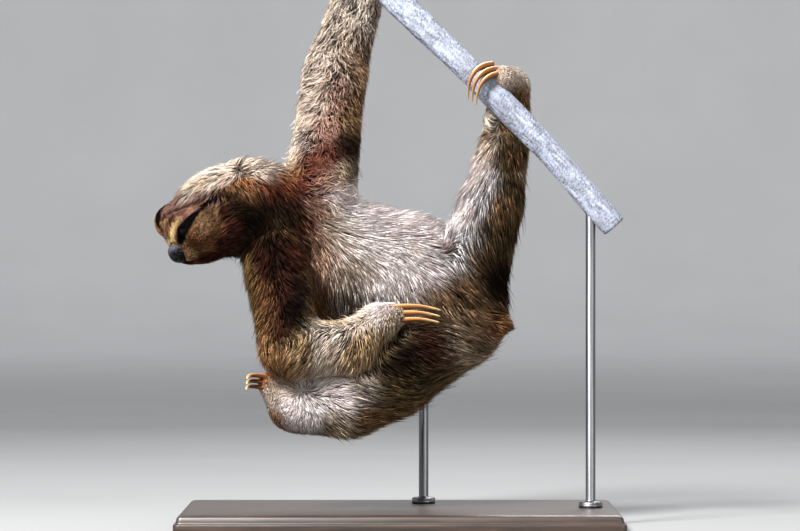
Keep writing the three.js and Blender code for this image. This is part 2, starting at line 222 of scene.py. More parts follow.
def trunk_part(place, half_sizes, depth, extent):
    distance = oval(PLACE[place], half_sizes, TRUNK_AXES, depth)
    return lump(PLACE[place], extent, distance, TRUNK_FILLET, TRUNK_AXES[0])


def chain(places, radii, depths, fillet, extent, joint_fillet):
    """A bent part: tapers from place to place."""
    fields = [
        taper(PLACE[a], PLACE[b], radii[i:i + 2], depths[i:i + 2])
        for i, (a, b) in enumerate(zip(places, places[1:]))
    ]
    middle = PLACE[places[1]]
    way = unit(PLACE[places[-1]] - PLACE[places[0]])
    return lump(middle, extent, blended(fields, joint_fillet), fillet, way)


def head_oval(forward, side, up, half_sizes, depth):
    return oval(in_head(forward, side, up), half_sizes, HEAD_AXES, depth)


BROW_ENDS = in_head(0.040, -0.026, 0.010), in_head(0.040, 0.026, 0.010)

HEAD_FIELD = blended([
    head_oval(0, 0, 0.001, (0.057, 0.049, 0.044), 0.0085),           # crown
    taper(*BROW_ENDS, (0.018, 0.018), (0.0022, 0.0022)),             # brow, flat and broad
    head_oval(0.028, 0, -0.005, (0.035, 0.038, 0.033), 0.0035),      # cheeks
    head_oval(0.050, 0, -0.013, (0.017, 0.017, 0.014), 0.0010),      # muzzle
    head_oval(-0.034, 0, -0.005, (0.042, 0.049, 0.043), 0.0110),     # nape
], 0.007)

BODY = {
    "chest": trunk_part("chest", (0.066, 0.060, 0.064), 0.014, 0.092),
    "belly": trunk_part("belly", (0.088, 0.064, 0.079), 0.013, 0.100),
    "rump": trunk_part("rump", (0.051, 0.056, 0.059), 0.014, 0.084),
    "neck": bone("neck_top", "neck_base", (0.050, 0.052), (0.012, 0.015), 0.020),
    "head": lump(HEAD_CENTRE, 0.088, HEAD_FIELD, 0.016, HEAD_AXES[0]),
    "left_upper_arm": bone("left_shoulder", "left_elbow", (0.038, 0.033), (0.010, 0.010), 0.010),
    "left_forearm": bone("left_elbow", "left_wrist", (0.033, 0.023), (0.010, 0.005), 0.010),
    "left_hand": bone("left_wrist", "left_knuckles", (0.022, 0.014), (0.005, 0.0025), 0.006),
    "left_thigh": bone("left_hip", "left_knee", (0.046, 0.034), (0.014, 0.012), 0.012),
    "left_shin": bone("left_knee", "left_ankle", (0.034, 0.025), (0.012, 0.006), 0.010),
    "left_foot": chain(("left_ankle", "left_sole", "left_toes"), (0.025, 0.021, 0.013),
                       (0.006, 0.004, 0.002), 0.006, 0.050, 0.006),
    "tail": bone("tail_root", "tail_tip", (0.021, 0.012), (0.010, 0.008), 0.010),
}
RIGHT_ARM = {
    "right_upper_arm": bone("right_shoulder", "right_elbow", (0.039, 0.031), (0.012, 0.010), 0.010),
    "right_forearm": chain(("right_elbow", "right_mid_forearm", "right_wrist"),
                           (0.030, 0.030, 0.021), (0.010, 0.010, 0.005), 0.010, 0.084, 0.006),
    "right_hand": bone("right_wrist", "right_knuckles", (0.020, 0.014), (0.004, 0.0025), 0.006),
}
RIGHT_LEG = {
    "right_thigh": bone("right_hip", "right_knee", (0.043, 0.043), (0.014, 0.013), 0.010),
    "right_shin": chain(("right_knee", "right_calf", "right_ankle"), (0.043, 0.038, 0.031),
                        (0.013, 0.012, 0.008), 0.010, 0.084, 0.008),
    "right_foot": chain(("right_ankle", "right_heel", "right_toes"), (0.030, 0.026, 0.013),
                        (0.007, 0.004, 0.002), 0.006, 0.060, 0.006),
}
GROUPS = [BODY, RIGHT_ARM, RIGHT_LEG]
FLESH = {name: flesh for group in GROUPS for name, flesh in group.items()}

FAR = 0.060            # stands for any distance too great to matter
LIMB_FILLET = 0.006    # where the skins of two groups meet


def group_distance(group, points, bare):
    nearest = np.full(points.shape[:-1], FAR)
    for flesh in group.values():
        nearest = smooth_min(nearest, flesh.distance(points, bare), flesh.fillet)
    return nearest


def coat_distance(points):
    """Distance from where the coat ends."""
    return np.minimum.reduce([group_distance(group, points, 0) for group in GROUPS])


def skin_distance(points):
    nearest = np.full(points.shape[:-1], FAR)
    for group in GROUPS:
        nearest = smooth_min(nearest, group_distance(group, points, 1), LIMB_FILLET)
    return with_face(points, nearest)


# ---------------------------------------------------------------- the bare face

LID = {"thickness": 0.0013, "half_width": 0.0047, "half_height": 0.0037, "fillet": 0.0022}
GAZE = unit(at(0.86, 0.50, 0.06))
MOUTH = {
    "up": -0.0222, "curve": 8.0, "depth": 0.0013, "breadth": 0.0010,
    "fade": (0.034, 0.042),    # how far forward it starts and is at its full depth
}
CREASE = {
    "depth": 0.0004, "spacing": 0.0032, "breadth": 0.009, "slant": 1.5,
    "lower_fade": (-0.004, 0.004), "upper_fade": (0.010, 0.016), "back_fade": (0.045, 0.055),
}
FACE = {"from": 0.022, "to": 0.09, "half_breadth": 0.045, "reach": 0.02}


def eye_places():
    """Each eye's centre and gaze, in the head's frame."""
    for side in (1, -1):
        mirror = at(1, side, 1)
        yield at(EYE["forward"], EYE["side"], EYE["up"]) * mirror, GAZE * mirror


def lidded(local, distance):
    """Adds the lids: a shell round each eyeball, open in front."""
    for centre, gaze in eye_places():
        offset = local - centre
        ahead = offset @ gaze
        across = unit(np.cross((0, 0, 1), gaze))
        over = np.cross(gaze, across)
        shell = norms(offset) - EYE["radius"] - LID["thickness"]
        distance = smooth_min(distance, shell, LID["fillet"])
        opening = np.hypot(offset @ across / LID["half_width"], offset @ over / LID["half_height"])
        cut = np.where(ahead > 0, (1 - opening) * LID["half_height"], -FAR)
        distance = np.maximum(distance, cut)
    return distance


def mouth_depth(forward, side, up):
    """How deep the closed line of the mouth is sunk."""
    line = MOUTH["up"] + MOUTH["curve"] * side * side
    share = smooth_step(*MOUTH["fade"], forward)
    return MOUTH["depth"] * share * np.exp(-((up - line) / MOUTH["breadth"]) ** 2)


def crease_depth(forward, side, up):
    """The small folds across the bridge of the nose."""
    bridge = np.exp(-(side / CREASE["breadth"]) ** 2) * smooth_step(*CREASE["lower_fade"], up)
    bridge *= 1 - smooth_step(*CREASE["upper_fade"], up)
    wave = np.sin((up + CREASE["slant"] * np.abs(side)) * 2 * math.pi / CREASE["spacing"])
    return CREASE["depth"] * bridge * wave * smooth_step(*CREASE["back_fade"], forward)


def with_face(points, distance):
    """Adds the lids, the line of the mouth and the creases above the nose to the bare head."""
    distance = distance.copy()
    local = head_frame(points)
    near = (local[..., 0] > FACE["from"]) & (local[..., 0] < FACE["to"])
    near &= (np.abs(local[..., 1:]) < FACE["half_breadth"]).all(-1) & (distance < FACE["reach"])
    face = local[near]
    shaped = lidded(face, distance[near])
    shaped += mouth_depth(*face.T)
    shaped += crease_depth(*face.T)
    distance[near] = shaped
    return distance


# ---------------------------------------------------------------- the skin's surface

CELL = 0.0029
FACE_CELL = 0.0009
FACE_LOW = at(-0.247, -0.072, 0.258)
FACE_HIGH = at(-0.186, 0.004, 0.322)
FACE_MARGIN = 0.010    # how far beyond that box the face is worked out
CULL = 0.034           # and how far beyond its own box a piece of flesh is
MARGIN = 0.008         # the lattice's edge round all the flesh


def graded(low, high, fine_low, fine_high):
    """Lattice planes along one axis, closer together across the face."""
    before = np.arange(low, fine_low, CELL)
    fine = np.arange(fine_low, fine_high, FACE_CELL)
    after = np.arange(fine_high, high, CELL)
    return np.concatenate([before, fine, after])


def block_of(planes, low, high, margin):
    """The part of a lattice that lies within a margin of a box, and its points."""
    block = tuple(
        slice(*np.searchsorted(p, (a - margin, b + margin)))
        for p, a, b in zip(planes, low, high)
    )
    sides = (p[part] for p, part in zip(planes, block))
    return block, np.stack(np.meshgrid(*sides, indexing="ij"), -1)


def skin_lattice():
    """The skin's distance field on a lattice, and the lattice's planes."""
    low = np.minimum.reduce([flesh.low for flesh in FLESH.values()]) - MARGIN
    high = np.maximum.reduce([flesh.high for flesh in FLESH.values()]) + MARGIN
    planes = [graded(*ends) for ends in zip(low, high, FACE_LOW, FACE_HIGH)]
    total = np.full([len(p) for p in planes], FAR, np.float32)
    for group in GROUPS:
        values = np.full(total.shape, FAR, np.float32)
        for flesh in group.values():
            block, points = block_of(planes, flesh.low, flesh.high, CULL)
            values[block] = smooth_min(values[block], flesh.distance(points, 1), flesh.fillet)
        total = smooth_min(total, values, LIMB_FILLET)
    block, points = block_of(planes, FACE_LOW, FACE_HIGH, FACE_MARGIN)
    total[block] = with_face(points, total[block].astype(float))
    return total, planes


def surface_net(values, planes):
    """One vertex in each lattice cell that the surface crosses, one quad round each edge."""
    inside = values < 0
    places, rounds = [], []
    for axis in range(3):
        second, third = (axis + 1) % 3, (axis + 2) % 3
        ahead = np.roll(inside, -1, axis)
        edges = np.argwhere(inside != ahead)
        edges = edges[edges[:, axis] < values.shape[axis] - 1]
        following = edges.copy()
        following[:, axis] += 1
        here, there = values[tuple(edges.T)], values[tuple(following.T)]
        place = np.stack([planes[d][edges[:, d]] for d in range(3)], 1)
        gap = planes[axis][following[:, axis]] - planes[axis][edges[:, axis]]
        place[:, axis] += gap * here / (here - there)
        corners = []
        for step_second, step_third in ((-1, -1), (0, -1), (0, 0), (-1, 0)):
            cell = edges.copy()
            cell[:, second] += step_second
            cell[:, third] += step_third
            corners.append(np.ravel_multi_index(cell.T, values.shape))
        corners = np.stack(corners, 1)
        outward = here < 0
        corners[~outward] = corners[~outward][:, ::-1]
        places.append(np.repeat(place, 4, axis=0))
        rounds.append(corners)
    rounds = np.concatenate(rounds)
    places = np.concatenate(places)
    _, vertex = np.unique(rounds.ravel(), return_inverse=True)
    count = np.bincount(vertex)
    points = np.stack([np.bincount(vertex, places[:, d]) / count for d in range(3)], 1)
    return points, vertex.reshape(-1, 4)


SLOPE_STEP = 0.0003
FLATTEST = 0.3         # the least squared slope, so that no step grows too long


def slope(field, points, value):
    """The field's gradient by forward differences."""
    steps = np.eye(3) * SLOPE_STEP
    return np.stack([(field(points + step) - value) / SLOPE_STEP for step in steps], -1)


def settled(points, field, passes, furthest):
    """Points moved along the slope onto the field's surface."""
    start = points.copy()
    for _ in range(passes):
        value = field(points)
        ways = slope(field, points, value)
        squared = np.maximum(np.einsum("ni,ni->n", ways, ways), FLATTEST)
        points = points - ways * (value / squared)[:, None]
    moved = points - start
    reach = norms(moved)
    return start + moved * np.minimum(1, furthest / np.maximum(reach, 1e-9))[:, None]


# ---------------------------------------------------------------- meshes

def mesh_from(name, points, corners, per_face, smooth=True):
    """A mesh object from numpy arrays: corners holds each face's vertices in turn."""
    mesh = bpy.data.meshes.new(name)
    faces = len(corners) // per_face
    mesh.vertices.add(len(points))
    mesh.vertices.foreach_set("co", np.ascontiguousarray(points, np.float32).ravel())
    mesh.loops.add(len(corners))
    mesh.loops.foreach_set("vertex_index", corners.astype(np.int32))
    mesh.polygons.add(faces)
    mesh.polygons.foreach_set("loop_start", np.arange(faces, dtype=np.int32) * per_face)
    mesh.polygons.foreach_set("use_smooth", np.full(faces, smooth))
    mesh.update(calc_edges=True)
    piece = bpy.data.objects.new(name, mesh)
    bpy.context.scene.collection.objects.link(piece)
    return piece


def place_points(piece, points):
    piece.data.vertices.foreach_set("co", points.astype(np.float32).ravel())


def colour_points(piece, name, colours):
    """Gives a mesh a colour for each vertex, in linear light."""
    layer = piece.data.attributes.new(name, "FLOAT_COLOR", "POINT")
    full = np.concatenate([colours, np.ones((len(colours), 1))], 1)
    layer.data.foreach_set("color", full.astype(np.float32).ravel())


def finished(piece, slot, material, *nodes):
    """Gives a piece its material, lets it ride, and hides the solids it stands for. slot is not used.
    """
    piece.data.materials.clear()
    piece.data.materials.append(material)
    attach(piece, "root")
    if nodes:
        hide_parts(*nodes)
    return piece


# ---------------------------------------------------------------- the coat's markings and lie

# The darkest and lightest hairs of each kind, in sRGB from 0 to 255.
HAIR = {
    "cream": ((140, 114, 96), (254, 240, 224)),
    "snow": ((204, 188, 182), (255, 252, 250)),
    "ash": ((182, 163, 158), (255, 249, 247)),
    "silver": ((50, 46, 47), (254, 249, 248)),
    "oat": ((34, 20, 14), (252, 234, 216)),
    "curl": ((20, 11, 8), (244, 222, 204)),
    "roan": ((14, 6, 5), (206, 158, 138)),
    "peach": ((96, 62, 46), (238, 190, 158)),
    "rust": ((22, 8, 4), (174, 96, 60)),
    "khaki": ((18, 11, 5), (178, 140, 84)),
    "sand": ((36, 23, 15), (244, 218, 186)),
    "fawn": ((28, 17, 10), (222, 186, 138)),
    "tawny": ((28, 14, 8), (196, 146, 100)),
    "umber": ((14, 8, 5), (154, 118, 84)),
    "olive": ((6, 4, 3), (114, 92, 62)),
    "russet": ((14, 5, 4), (140, 78, 60)),
    "chestnut": ((5, 2, 2), (78, 42, 32)),
    "soot": ((2, 1, 1), (30, 19, 15)),
    "black": ((2, 1, 1), (8, 6, 6)),
    "honey": ((104, 78, 44), (190, 167, 122)),
    "amber": ((100, 46, 16), (222, 146, 82)),
    "mauve": ((26, 11, 11), (180, 134, 120)),
    "hazel": ((16, 8, 5), (148, 102, 68)),
}

Patch = namedtuple("Patch", "place reach way dark light")


def linear(shade):
    """An sRGB colour in linear light."""
    share = np.array(shade) / 255
    return np.where(share > 0.04045, ((share + 0.055) / 1.055) ** 2.4, share / 12.92)


def patches(rows):
    """Patches of coat that run into each other.

    Each row has a place and a reach in millimetres, the way the hair lies, and its kind.
    """
    made = []
    for place, reach, way, hair in rows:
        dark, light = HAIR[hair]
        way = unit(np.array(way, float))
        made.append(Patch(np.array(place) / 1000, reach / 1000, way, linear(dark), linear(light)))
    return made


# Places are X and Z, for the side that faces -Y in the FRONT lists and +Y in the BACK ones.
BODY_FRONT = patches([
    # the raised left arm, from the hand down to the armpit
    ((-45, 500), 32, (-0.1, 0.1, -1), "oat"),
    ((-75, 465), 24, (-0.3, 0.1, -1), "curl"),
    ((-55, 480), 14, (0.1, 0.1, -1), "sand"),
    ((-38, 465), 18, (0.25, 0.1, -1), "tawny"),
    ((-90, 425), 18, (-0.35, 0.1, -1), "curl"),
    ((-66, 430), 14, (0.0, 0.1, -1), "roan"),
    ((-45, 415), 16, (0.15, 0.1, -1), "umber"),
    ((-102, 392), 14, (-0.5, 0.2, -0.85), "oat"),
    ((-80, 390), 14, (-0.15, 0, -1), "roan"),
    ((-72, 368), 12, (0.3, 0, -1), "russet"),
    # The soot and olive where the arm meets the body are painted shade behind the arm.
    ((-50, 374), 13, (0.2, 0, -1), "soot"),
    ((-40, 350), 10, (0.8, 0, -0.5), "olive"),
    # shoulder, neck and throat
    ((-122, 362), 12, (0.1, 0, -1), "oat"),
    ((-108, 352), 10, (0.2, 0, -1), "tawny"),
    ((-112, 340), 10, (0.2, 0, -1), "rust"),
    ((-98, 338), 10, (0.7, 0, -0.7), "russet"),
    ((-82, 355), 12, (0.9, 0, 0.3), "russet"),
    ((-70, 346), 12, (0.9, 0, -0.15), "roan"),
    ((-56, 348), 9, (0.95, 0, -0.25), "sand"),
    ((-116, 328), 10, (0.2, 0, -1), "chestnut"),
    ((-98, 318), 10, (0.8, 0, -0.6), "chestnut"),
    ((-80, 322), 10, (0.9, 0, -0.4), "roan"),
    ((-72, 306), 10, (0.9, 0, -0.5), "peach"),
    # The black, soot and chestnut between the cheek and the chest are painted shade under the head,
    # over dark brown fur.
    ((-112, 304), 14, (0.3, 0, -1), "black"),
    ((-128, 290), 16, (0.3, 0, -1), "black"),
    ((-145, 275), 15, (0.2, 0, -1), "soot"),
    ((-100, 294), 10, (0.7, 0, -0.7), "soot"),
    ((-88, 296), 8, (0.7, 0, -0.7), "russet"),
    ((-98, 276), 10, (0.5, 0, -0.85), "chestnut"),
    # chest and belly
    ((-40, 318), 20, (1, 0.1, -0.15), "ash"),
    ((5, 300), 24, (1, 0.1, -0.10), "ash"),
    ((-58, 300), 12, (0.95, 0, -0.3), "cream"),
    ((-58, 278), 14, (0.7, 0, -0.7), "cream"),
    ((-28, 275), 18, (0.85, 0, -0.5), "snow"),
    ((-35, 250), 16, (0.5, 0, -0.85), "cream"),
    ((-76, 275), 12, (0.4, 0, -0.9), "peach"),
    ((-78, 245), 14, (0.15, 0, -1), "peach"),
    ((-60, 245), 12, (0.15, 0, -1), "cream"),
    ((-80, 220), 12, (0, 0, -1), "tawny"),
    ((-52, 222), 14, (0.1, 0, -1), "oat"),
    ((-18, 232), 14, (0.35, 0, -0.95), "snow"),
    ((8, 262), 16, (0.6, 0, -0.85), "snow"),
    ((8, 240), 18, (0.5, 0, -0.9), "ash"),
    ((36, 250), 12, (0.7, 0, -0.75), "ash"),
    ((36, 225), 14, (0.55, 0, -0.85), "umber"),
    ((28, 279), 12, (0.8, 0, -0.4), "ash"),
    ((49, 279), 7, (0.6, 0, 0.5), "mauve"),
    ((50, 292), 8, (0.6, 0, 0.5), "silver"),
    ((34, 297), 12, (0.8, 0, 0.3), "ash"),
    # the raised left leg, from the thigh up to the foot; the soot and olive down its right side are
    # painted shade over its darker fur
    ((58, 262), 12, (0.6, 0, -0.8), "silver"),
    ((62, 240), 12, (0.6, 0, -0.8), "umber"),
    ((66, 222), 12, (0.6, 0, -0.8), "umber"),
    ((64, 308), 11, (-0.15, 0, -1), "ash"),
    ((78, 318), 10, (-0.1, 0, -1), "silver"),
    ((70, 285), 11, (0.2, 0, -1), "silver"),
    ((84, 290), 11, (0.15, 0, -1), "olive"),
    ((80, 265), 12, (0.4, 0, -0.9), "umber"),
    ((92, 250), 12, (0.3, 0, -0.95), "soot"),
    ((104, 280), 12, (0.1, 0, -1), "olive"),
    ((102, 312), 11, (0.05, 0, -1), "umber"),
    ((120, 290), 13, (0.05, 0, -1), "olive"),
    ((76, 348), 12, (-0.3, 0, -1), "ash"),
    ((84, 370), 10, (-0.3, 0, -1), "cream"),
    ((92, 340), 8, (-0.1, 0, -1), "silver"),
    ((104, 366), 12, (0, 0, -1), "olive"),
    ((102, 340), 10, (0, 0, -1), "olive"),
    ((118, 362), 10, (0, 0, -1), "umber"),
    ((120, 330), 10, (0, 0, -1), "olive"),
    ((129, 348), 6, (0, 0.1, -1), "sand"),
    ((90, 402), 10, (-0.5, 0, 0.4), "oat"),
    ((86, 388), 6, (-0.8, 0, -0.6), "umber"),
    ((102, 398), 6, (0.6, 0, -0.8), "tawny"),
    ((112, 453), 14, (0.5, 0.3, -0.8), "cream"),
    ((120, 427), 9, (0.1, 0, -1), "tawny"),
    # rump and tail
    ((50, 208), 16, (0.7, 0, -0.7), "umber"),
    ((74, 220), 12, (0.8, 0, -0.5), "olive"),
    ((86, 204), 10, (0.9, 0.1, -0.45), "tawny"),
    ((102, 200), 10, (0.95, 0.1, -0.25), "hazel"),
    # The soot at the far edge is painted shade.
    ((110, 232), 12, (0.3, 0.1, -0.95), "soot"),
])

BODY_BACK = patches([
    ((-45, 500), 45, (0.05, 0, -1), "fawn"),
    ((-70, 410), 35, (0.1, 0, -1), "fawn"),
    ((-130, 330), 35, (0.5, 0, -0.8), "tawny"),
    ((-70, 290), 35, (0.5, 0, -0.85), "umber"),
    ((-10, 270), 24, (0.55, 0, -0.85), "sand"),
    ((10, 220), 32, (0.5, 0, -0.85), "umber"),
    ((60, 230), 24, (0.4, 0, -0.9), "sand"),
    ((70, 175), 24, (0.7, 0, -0.7), "umber"),
    ((98, 200), 16, (0.9, 0, -0.4), "tawny"),
    ((95, 310), 30, (0.05, 0, -1), "umber"),
    ((110, 380), 30, (0, 0, -1), "fawn"),
    ((112, 445), 18, (0.2, 0.2, -0.9), "cream"),
])

ARM_FRONT = patches([
    # The soot, black and chestnut at the top and along the crease against the body are painted shade
    # from the head and the chest, over brown fur.
    ((-156, 255), 8, (-0.1, 0.1, -1), "khaki"),
    ((-138, 258), 12, (0.05, 0, -1), "chestnut"),
    ((-122, 262), 12, (0.3, 0, -1), "soot"),
    ((-104, 262), 12, (0.5, 0, -0.9), "chestnut"),
    ((-150, 232), 9, (-0.1, 0.1, -1), "khaki"),
    ((-134, 230), 11, (0, 0, -1), "hazel"),
    ((-116, 232), 11, (0.2, 0, -1), "chestnut"),
    ((-98, 232), 11, (0.4, 0, -0.9), "soot"),
    ((-104, 212), 13, (0.2, 0, -1), "black"),
    ((-148, 205), 10, (0.3, 0, -0.95), "khaki"),
    ((-130, 205), 11, (0.35, 0, -0.9), "hazel"),
    ((-112, 190), 9, (0.4, 0, -0.9), "chestnut"),
    ((-142, 173), 13, (0.6, -0.1, -0.8), "tawny"),
    ((-120, 163), 12, (0.2, 0, -1), "tawny"),
    ((-100, 172), 12, (-0.65, 0, -0.7), "fawn"),
    ((-68, 190), 13, (-0.6, 0, -0.8), "oat"),
    ((-72, 168), 11, (-0.6, 0, -0.8), "cream"),
    ((-50, 163), 12, (-0.35, 0, -0.95), "fawn"),
    ((-40, 203), 11, (-0.3, 0, -1), "cream"),
    ((-34, 182), 10, (-0.2, 0, -1), "fawn"),
    ((-22, 215), 10, (-0.5, 0, -0.8), "ash"),
    ((-10, 205), 9, (-0.4, 0, -0.9), "sand"),
])
ARM_BACK = patches([
    ((-125, 240), 40, (0.1, 0, -1), "umber"),
    ((-60, 180), 40, (-0.5, 0, -0.8), "fawn"),
])

LEG_FRONT = patches([
    # the whorl on the shin
    ((-112, 138), 9, (-0.9, 0, 0.4), "cream"),
    ((-110, 124), 9, (-0.8, 0, -0.6), "snow"),
    ((-104, 110), 9, (-0.3, 0, -0.9), "ash"),
    ((-88, 108), 10, (0.1, 0, -1), "snow"),
    ((-94, 128), 8, (0.3, 0, -1), "snow"),
    ((-75, 122), 10, (0.8, 0, -0.6), "snow"),
    ((-95, 146), 8, (-0.2, 0, 0.9), "snow"),
    ((-78, 142), 9, (0.7, 0, 0.6), "snow"),
    ((-60, 140), 10, (0.95, 0, 0.1), "ash"),
    # shin and thigh
    ((-58, 104), 12, (0.9, 0, -0.45), "sand"),
    ((-54, 124), 12, (0.95, 0, -0.3), "ash"),
    ((-34, 136), 11, (0.95, 0, -0.35), "oat"),
    ((-26, 108), 13, (1, 0, 0), "umber"),
    ((-5, 135), 14, (1, 0, -0.1), "olive"),
    # The soot and chestnut under the forearm are painted shade cast by it.
    ((0, 165), 16, (0.8, 0, -0.6), "soot"),
    ((40, 140), 18, (1, 0, 0.25), "olive"),
    ((40, 175), 14, (0.9, 0, -0.3), "chestnut"),
    ((75, 180), 18, (0.9, 0, 0.1), "sand"),
    # foot
    ((-134, 146), 8, (0.2, 0, -0.95), "amber"),
    ((-124, 138), 9, (0.3, 0, -0.9), "cream"),
    ((-128, 128), 9, (0.4, 0, -0.9), "cream"),
    ((-122, 105), 9, (0.6, 0, -0.8), "tawny"),
])
LEG_BACK = patches([
    ((-100, 125), 30, (0.6, 0, -0.8), "umber"),
    ((-20, 130), 35, (1, 0, -0.2), "umber"),
    ((50, 170), 35, (0.9, 0, -0.3), "olive"),
])

# In the head's frame, for its left side. The right side mirrors it.
HEAD_PATCHES = patches([
    # the crown, whose hair runs out from a whorl at the back
    ((-34, 0, 44), 14, (0.9, 0, 0), "cream"),
    ((-22, 10, 43), 10, (0.9, -0.15, 0.1), "curl"),
    ((-4, 5, 46), 13, (0.95, 0.1, 0), "oat"),
    ((-8, 22, 42), 10, (0.9, 0.25, -0.3), "cream"),
    ((-27, 31, 37), 7, (0.7, 0.35, -0.7), "curl"),
    ((-38, 33, 33), 6, (0.2, 0.4, -0.9), "curl"),
    ((-46, 24, 36), 10, (-0.7, -0.1, 0.3), "cream"),
    ((-52, 42, 22), 11, (-0.5, 0.3, -0.8), "cream"),
    ((13, 6, 44), 12, (0.95, 0.2, -0.2), "sand"),
    ((27, 0, 40), 11, (0.95, 0.1, -0.3), "oat"),
    ((12, 24, 39), 9, (0.8, 0.3, -0.5), "cream"),
    ((34, -2, 35), 7, (0.9, 0.1, -0.4), "sand"),
    # the band along the edge of the hood
    ((44, 0, 31), 6.5, (0.9, 0.1, -0.4), "mauve"),
    ((37, 12, 34), 6.5, (0.95, -0.1, -0.2), "mauve"),
    ((27, 22, 35), 6.5, (0.95, -0.2, -0.1), "mauve"),
    ((14, 31, 34), 6.5, (0.7, -0.1, -0.6), "mauve"),
    ((4, 37, 31), 7, (0.4, 0.1, -0.9), "tawny"),
    ((-10, 40, 29), 7.5, (0.35, 0.1, -0.95), "tawny"),
    ((-16, 42.5, 27), 6.5, (0.3, 0.05, -1), "rust"),
    ((-25, 50, 17), 7, (0.2, 0, -1), "rust"),
    ((-37, 53, 12), 7, (0.1, 0, -1), "rust"),
    ((-8, 48, 19), 6, (0.2, 0, -1), "umber"),
    ((-17, 54, 8), 7, (0.1, 0, -1), "chestnut"),
    ((-29, 58, 0), 7.5, (0.0, 0, -1), "russet"),
    ((-46, 60, 0), 9, (0.0, 0, -1), "chestnut"),
    # under the hood, behind the cheek: near-black, painted shade under the hood over dark fur
    ((3, 49, 10), 8.5, (-0.7, 0.2, -0.5), "black"),
    ((-6, 54, -2), 10, (-0.6, 0.3, -0.6), "black"),
    ((-18, 60, -14), 11, (-0.6, 0.2, -0.7), "black"),
    ((3, 48, -22), 11, (-0.7, 0.2, -0.5), "black"),
    ((-18, 60, -30), 14, (-0.6, 0.2, -0.6), "black"),
    ((-28, 62, -12), 9, (-0.3, 0.2, -0.9), "black"),
    # muzzle, cheek and chin; the chestnut on the back and lower cheek is brown fur darkened further
    # as painted shade under the hood
    ((61, 0, 6), 6, (-0.2, 0.1, 0.9), "umber"),
    ((57, 6, 18), 5, (-0.6, 0.2, 0.7), "umber"),
    ((60, 14, 0), 5, (-0.7, 0.5, 0.4), "umber"),
    ((59, 17, -11), 6, (-0.8, 0.4, 0.3), "umber"),
    ((60, 4, -22), 6, (-0.5, 0.5, -0.3), "chestnut"),
    ((52, 33, 8), 7, (-0.8, 0.15, 0.45), "hazel"),
    ((42, 40, 14), 7, (-0.85, 0.15, 0.40), "umber"),
    ((30, 42, 18), 7, (-0.9, 0.15, 0.25), "umber"),
    ((16, 46, 12), 7, (-0.9, 0.20, 0.05), "chestnut"),
    ((30, 43, 3), 8, (-0.86, 0.15, 0.35), "hazel"),
    ((18, 47, -2), 8, (-0.9, 0.20, 0.15), "chestnut"),
    ((44, 34, -10), 8, (-0.9, 0.20, 0.25), "hazel"),
    ((30, 40, -14), 9, (-0.9, 0.20, 0.20), "chestnut"),
    ((16, 44, -18), 9, (-0.9, 0.20, 0.00), "chestnut"),
    ((40, 26, -24), 9, (-0.9, 0.25, 0.05), "chestnut"),
    ((22, 30, -30), 10, (-0.9, 0.25, 0.00), "chestnut"),
    ((45, 0, -30), 12, (-0.9, 0.2, 0), "russet"),
    # behind and below; the soot under the jaw is painted shade under the head
    ((-60, 0, 20), 20, (-0.8, 0.1, -0.5), "oat"),
    ((-58, 45, 0), 14, (-0.6, 0.1, -0.8), "russet"),
    ((0, 20, -40), 18, (-0.9, 0.2, 0), "soot"),
])

Mark = namedtuple("Mark", "places half_widths dark light strength")


def mark(hair, strength, *stops):
    """A marking along a line. A stop is how far forward, to the left and up, and half the width."""
    stops = np.array(stops) / 1000
    dark, light = HAIR[hair]
    return Mark(stops[:, :3], stops[:, 3], linear(dark), linear(light), strength)


# In the head's frame, in millimetres. Each is painted over those before it.
MARKS = [
    # the shade under the edge of the hood
    mark("soot", 0.75, (55, -20, 20, 3), (49.5, -12, 26, 2), (46, -3, 29.2, 2),
         (42.2, 5.7, 31.5, 2), (35.7, 16, 32.8, 2), (27.8, 24.9, 32.5, 2)),
    mark("chestnut", 0.8, (24, 25, 36.5, 2.4), (15.2, 29.1, 35.2, 3.0), (6.5, 35.1, 32, 3.0),
         (-1, 41, 26.5, 3.2), (-8, 47, 20, 3.2)),
    # the orange fur between the hood and the stripe
    mark("chestnut", 0.8, (60, -9, 12, 4), (56, -5, 20, 4), (51, 1, 26, 3)),
    mark("rust", 0.65, (53, 5, 23.5, 2.2), (47.8, 11, 27, 2.2), (42.6, 15, 29.5, 1.8)),
    mark("tawny", 0.6, (42.6, 15, 29.5, 1.8), (36, 21, 31, 1.8), (28, 26.5, 31.2, 1.4),
         (18, 32, 31.5, 1)),
    mark("fawn", 0.8, (64, -13, -14, 3), (63.5, -12, -6, 3), (62, -12, 2, 2.5)),
    # the pale blaze, from the side of the nose to the brow
    mark("honey", 1, (62, -11, -12, 3), (64, -7, -4, 3.5), (62.5, -3, 3, 4), (61, 0.5, 9, 3.4),
         (57.1, 5, 18.4, 3.2), (52.6, 8.5, 23, 2.6), (49.5, 12, 25.3, 1.4)),
    # the dark stripes through the eyes
    mark("black", 1, (61, 11, 5, 5.2), (58, 17, 12, 6.4), (55, 23, 18, 6.4), (49, 27.5, 23, 5.6),
         (43, 29.5, 26, 4.2), (36.6, 29.4, 28.1, 3.2), (27.1, 29.3, 29.8, 2.8),
         (21, 32.2, 30.4, 2.6), (14.4, 35.4, 29.7, 2.6), (6, 40.5, 26.5, 2.8),
         (-0.5, 46.2, 20.1, 3.2), (-5.5, 51.3, 12.4, 4)),
    # the edge of the mouth
    mark("black", 0.9, (62, 6, -20, 1.2), (58, 16, -22, 1.2), (47, 24, -25, 1.4), (30, 28, -33, 1.6)),
    mark("black", 1, (57.5, -18.5, 14.5, 4.2), (54.5, -23.5, 18.5, 5.2), (49, -27.5, 23, 4.8),
         (43, -29.5, 26, 4), (27.1, -29.3, 29.8, 2), (14.4, -35.4, 29.7, 1.2),
         (-0.5, -46.2, 20.1, 2.2), (-5.5, -51.3, 12.4, 3.5)),
]

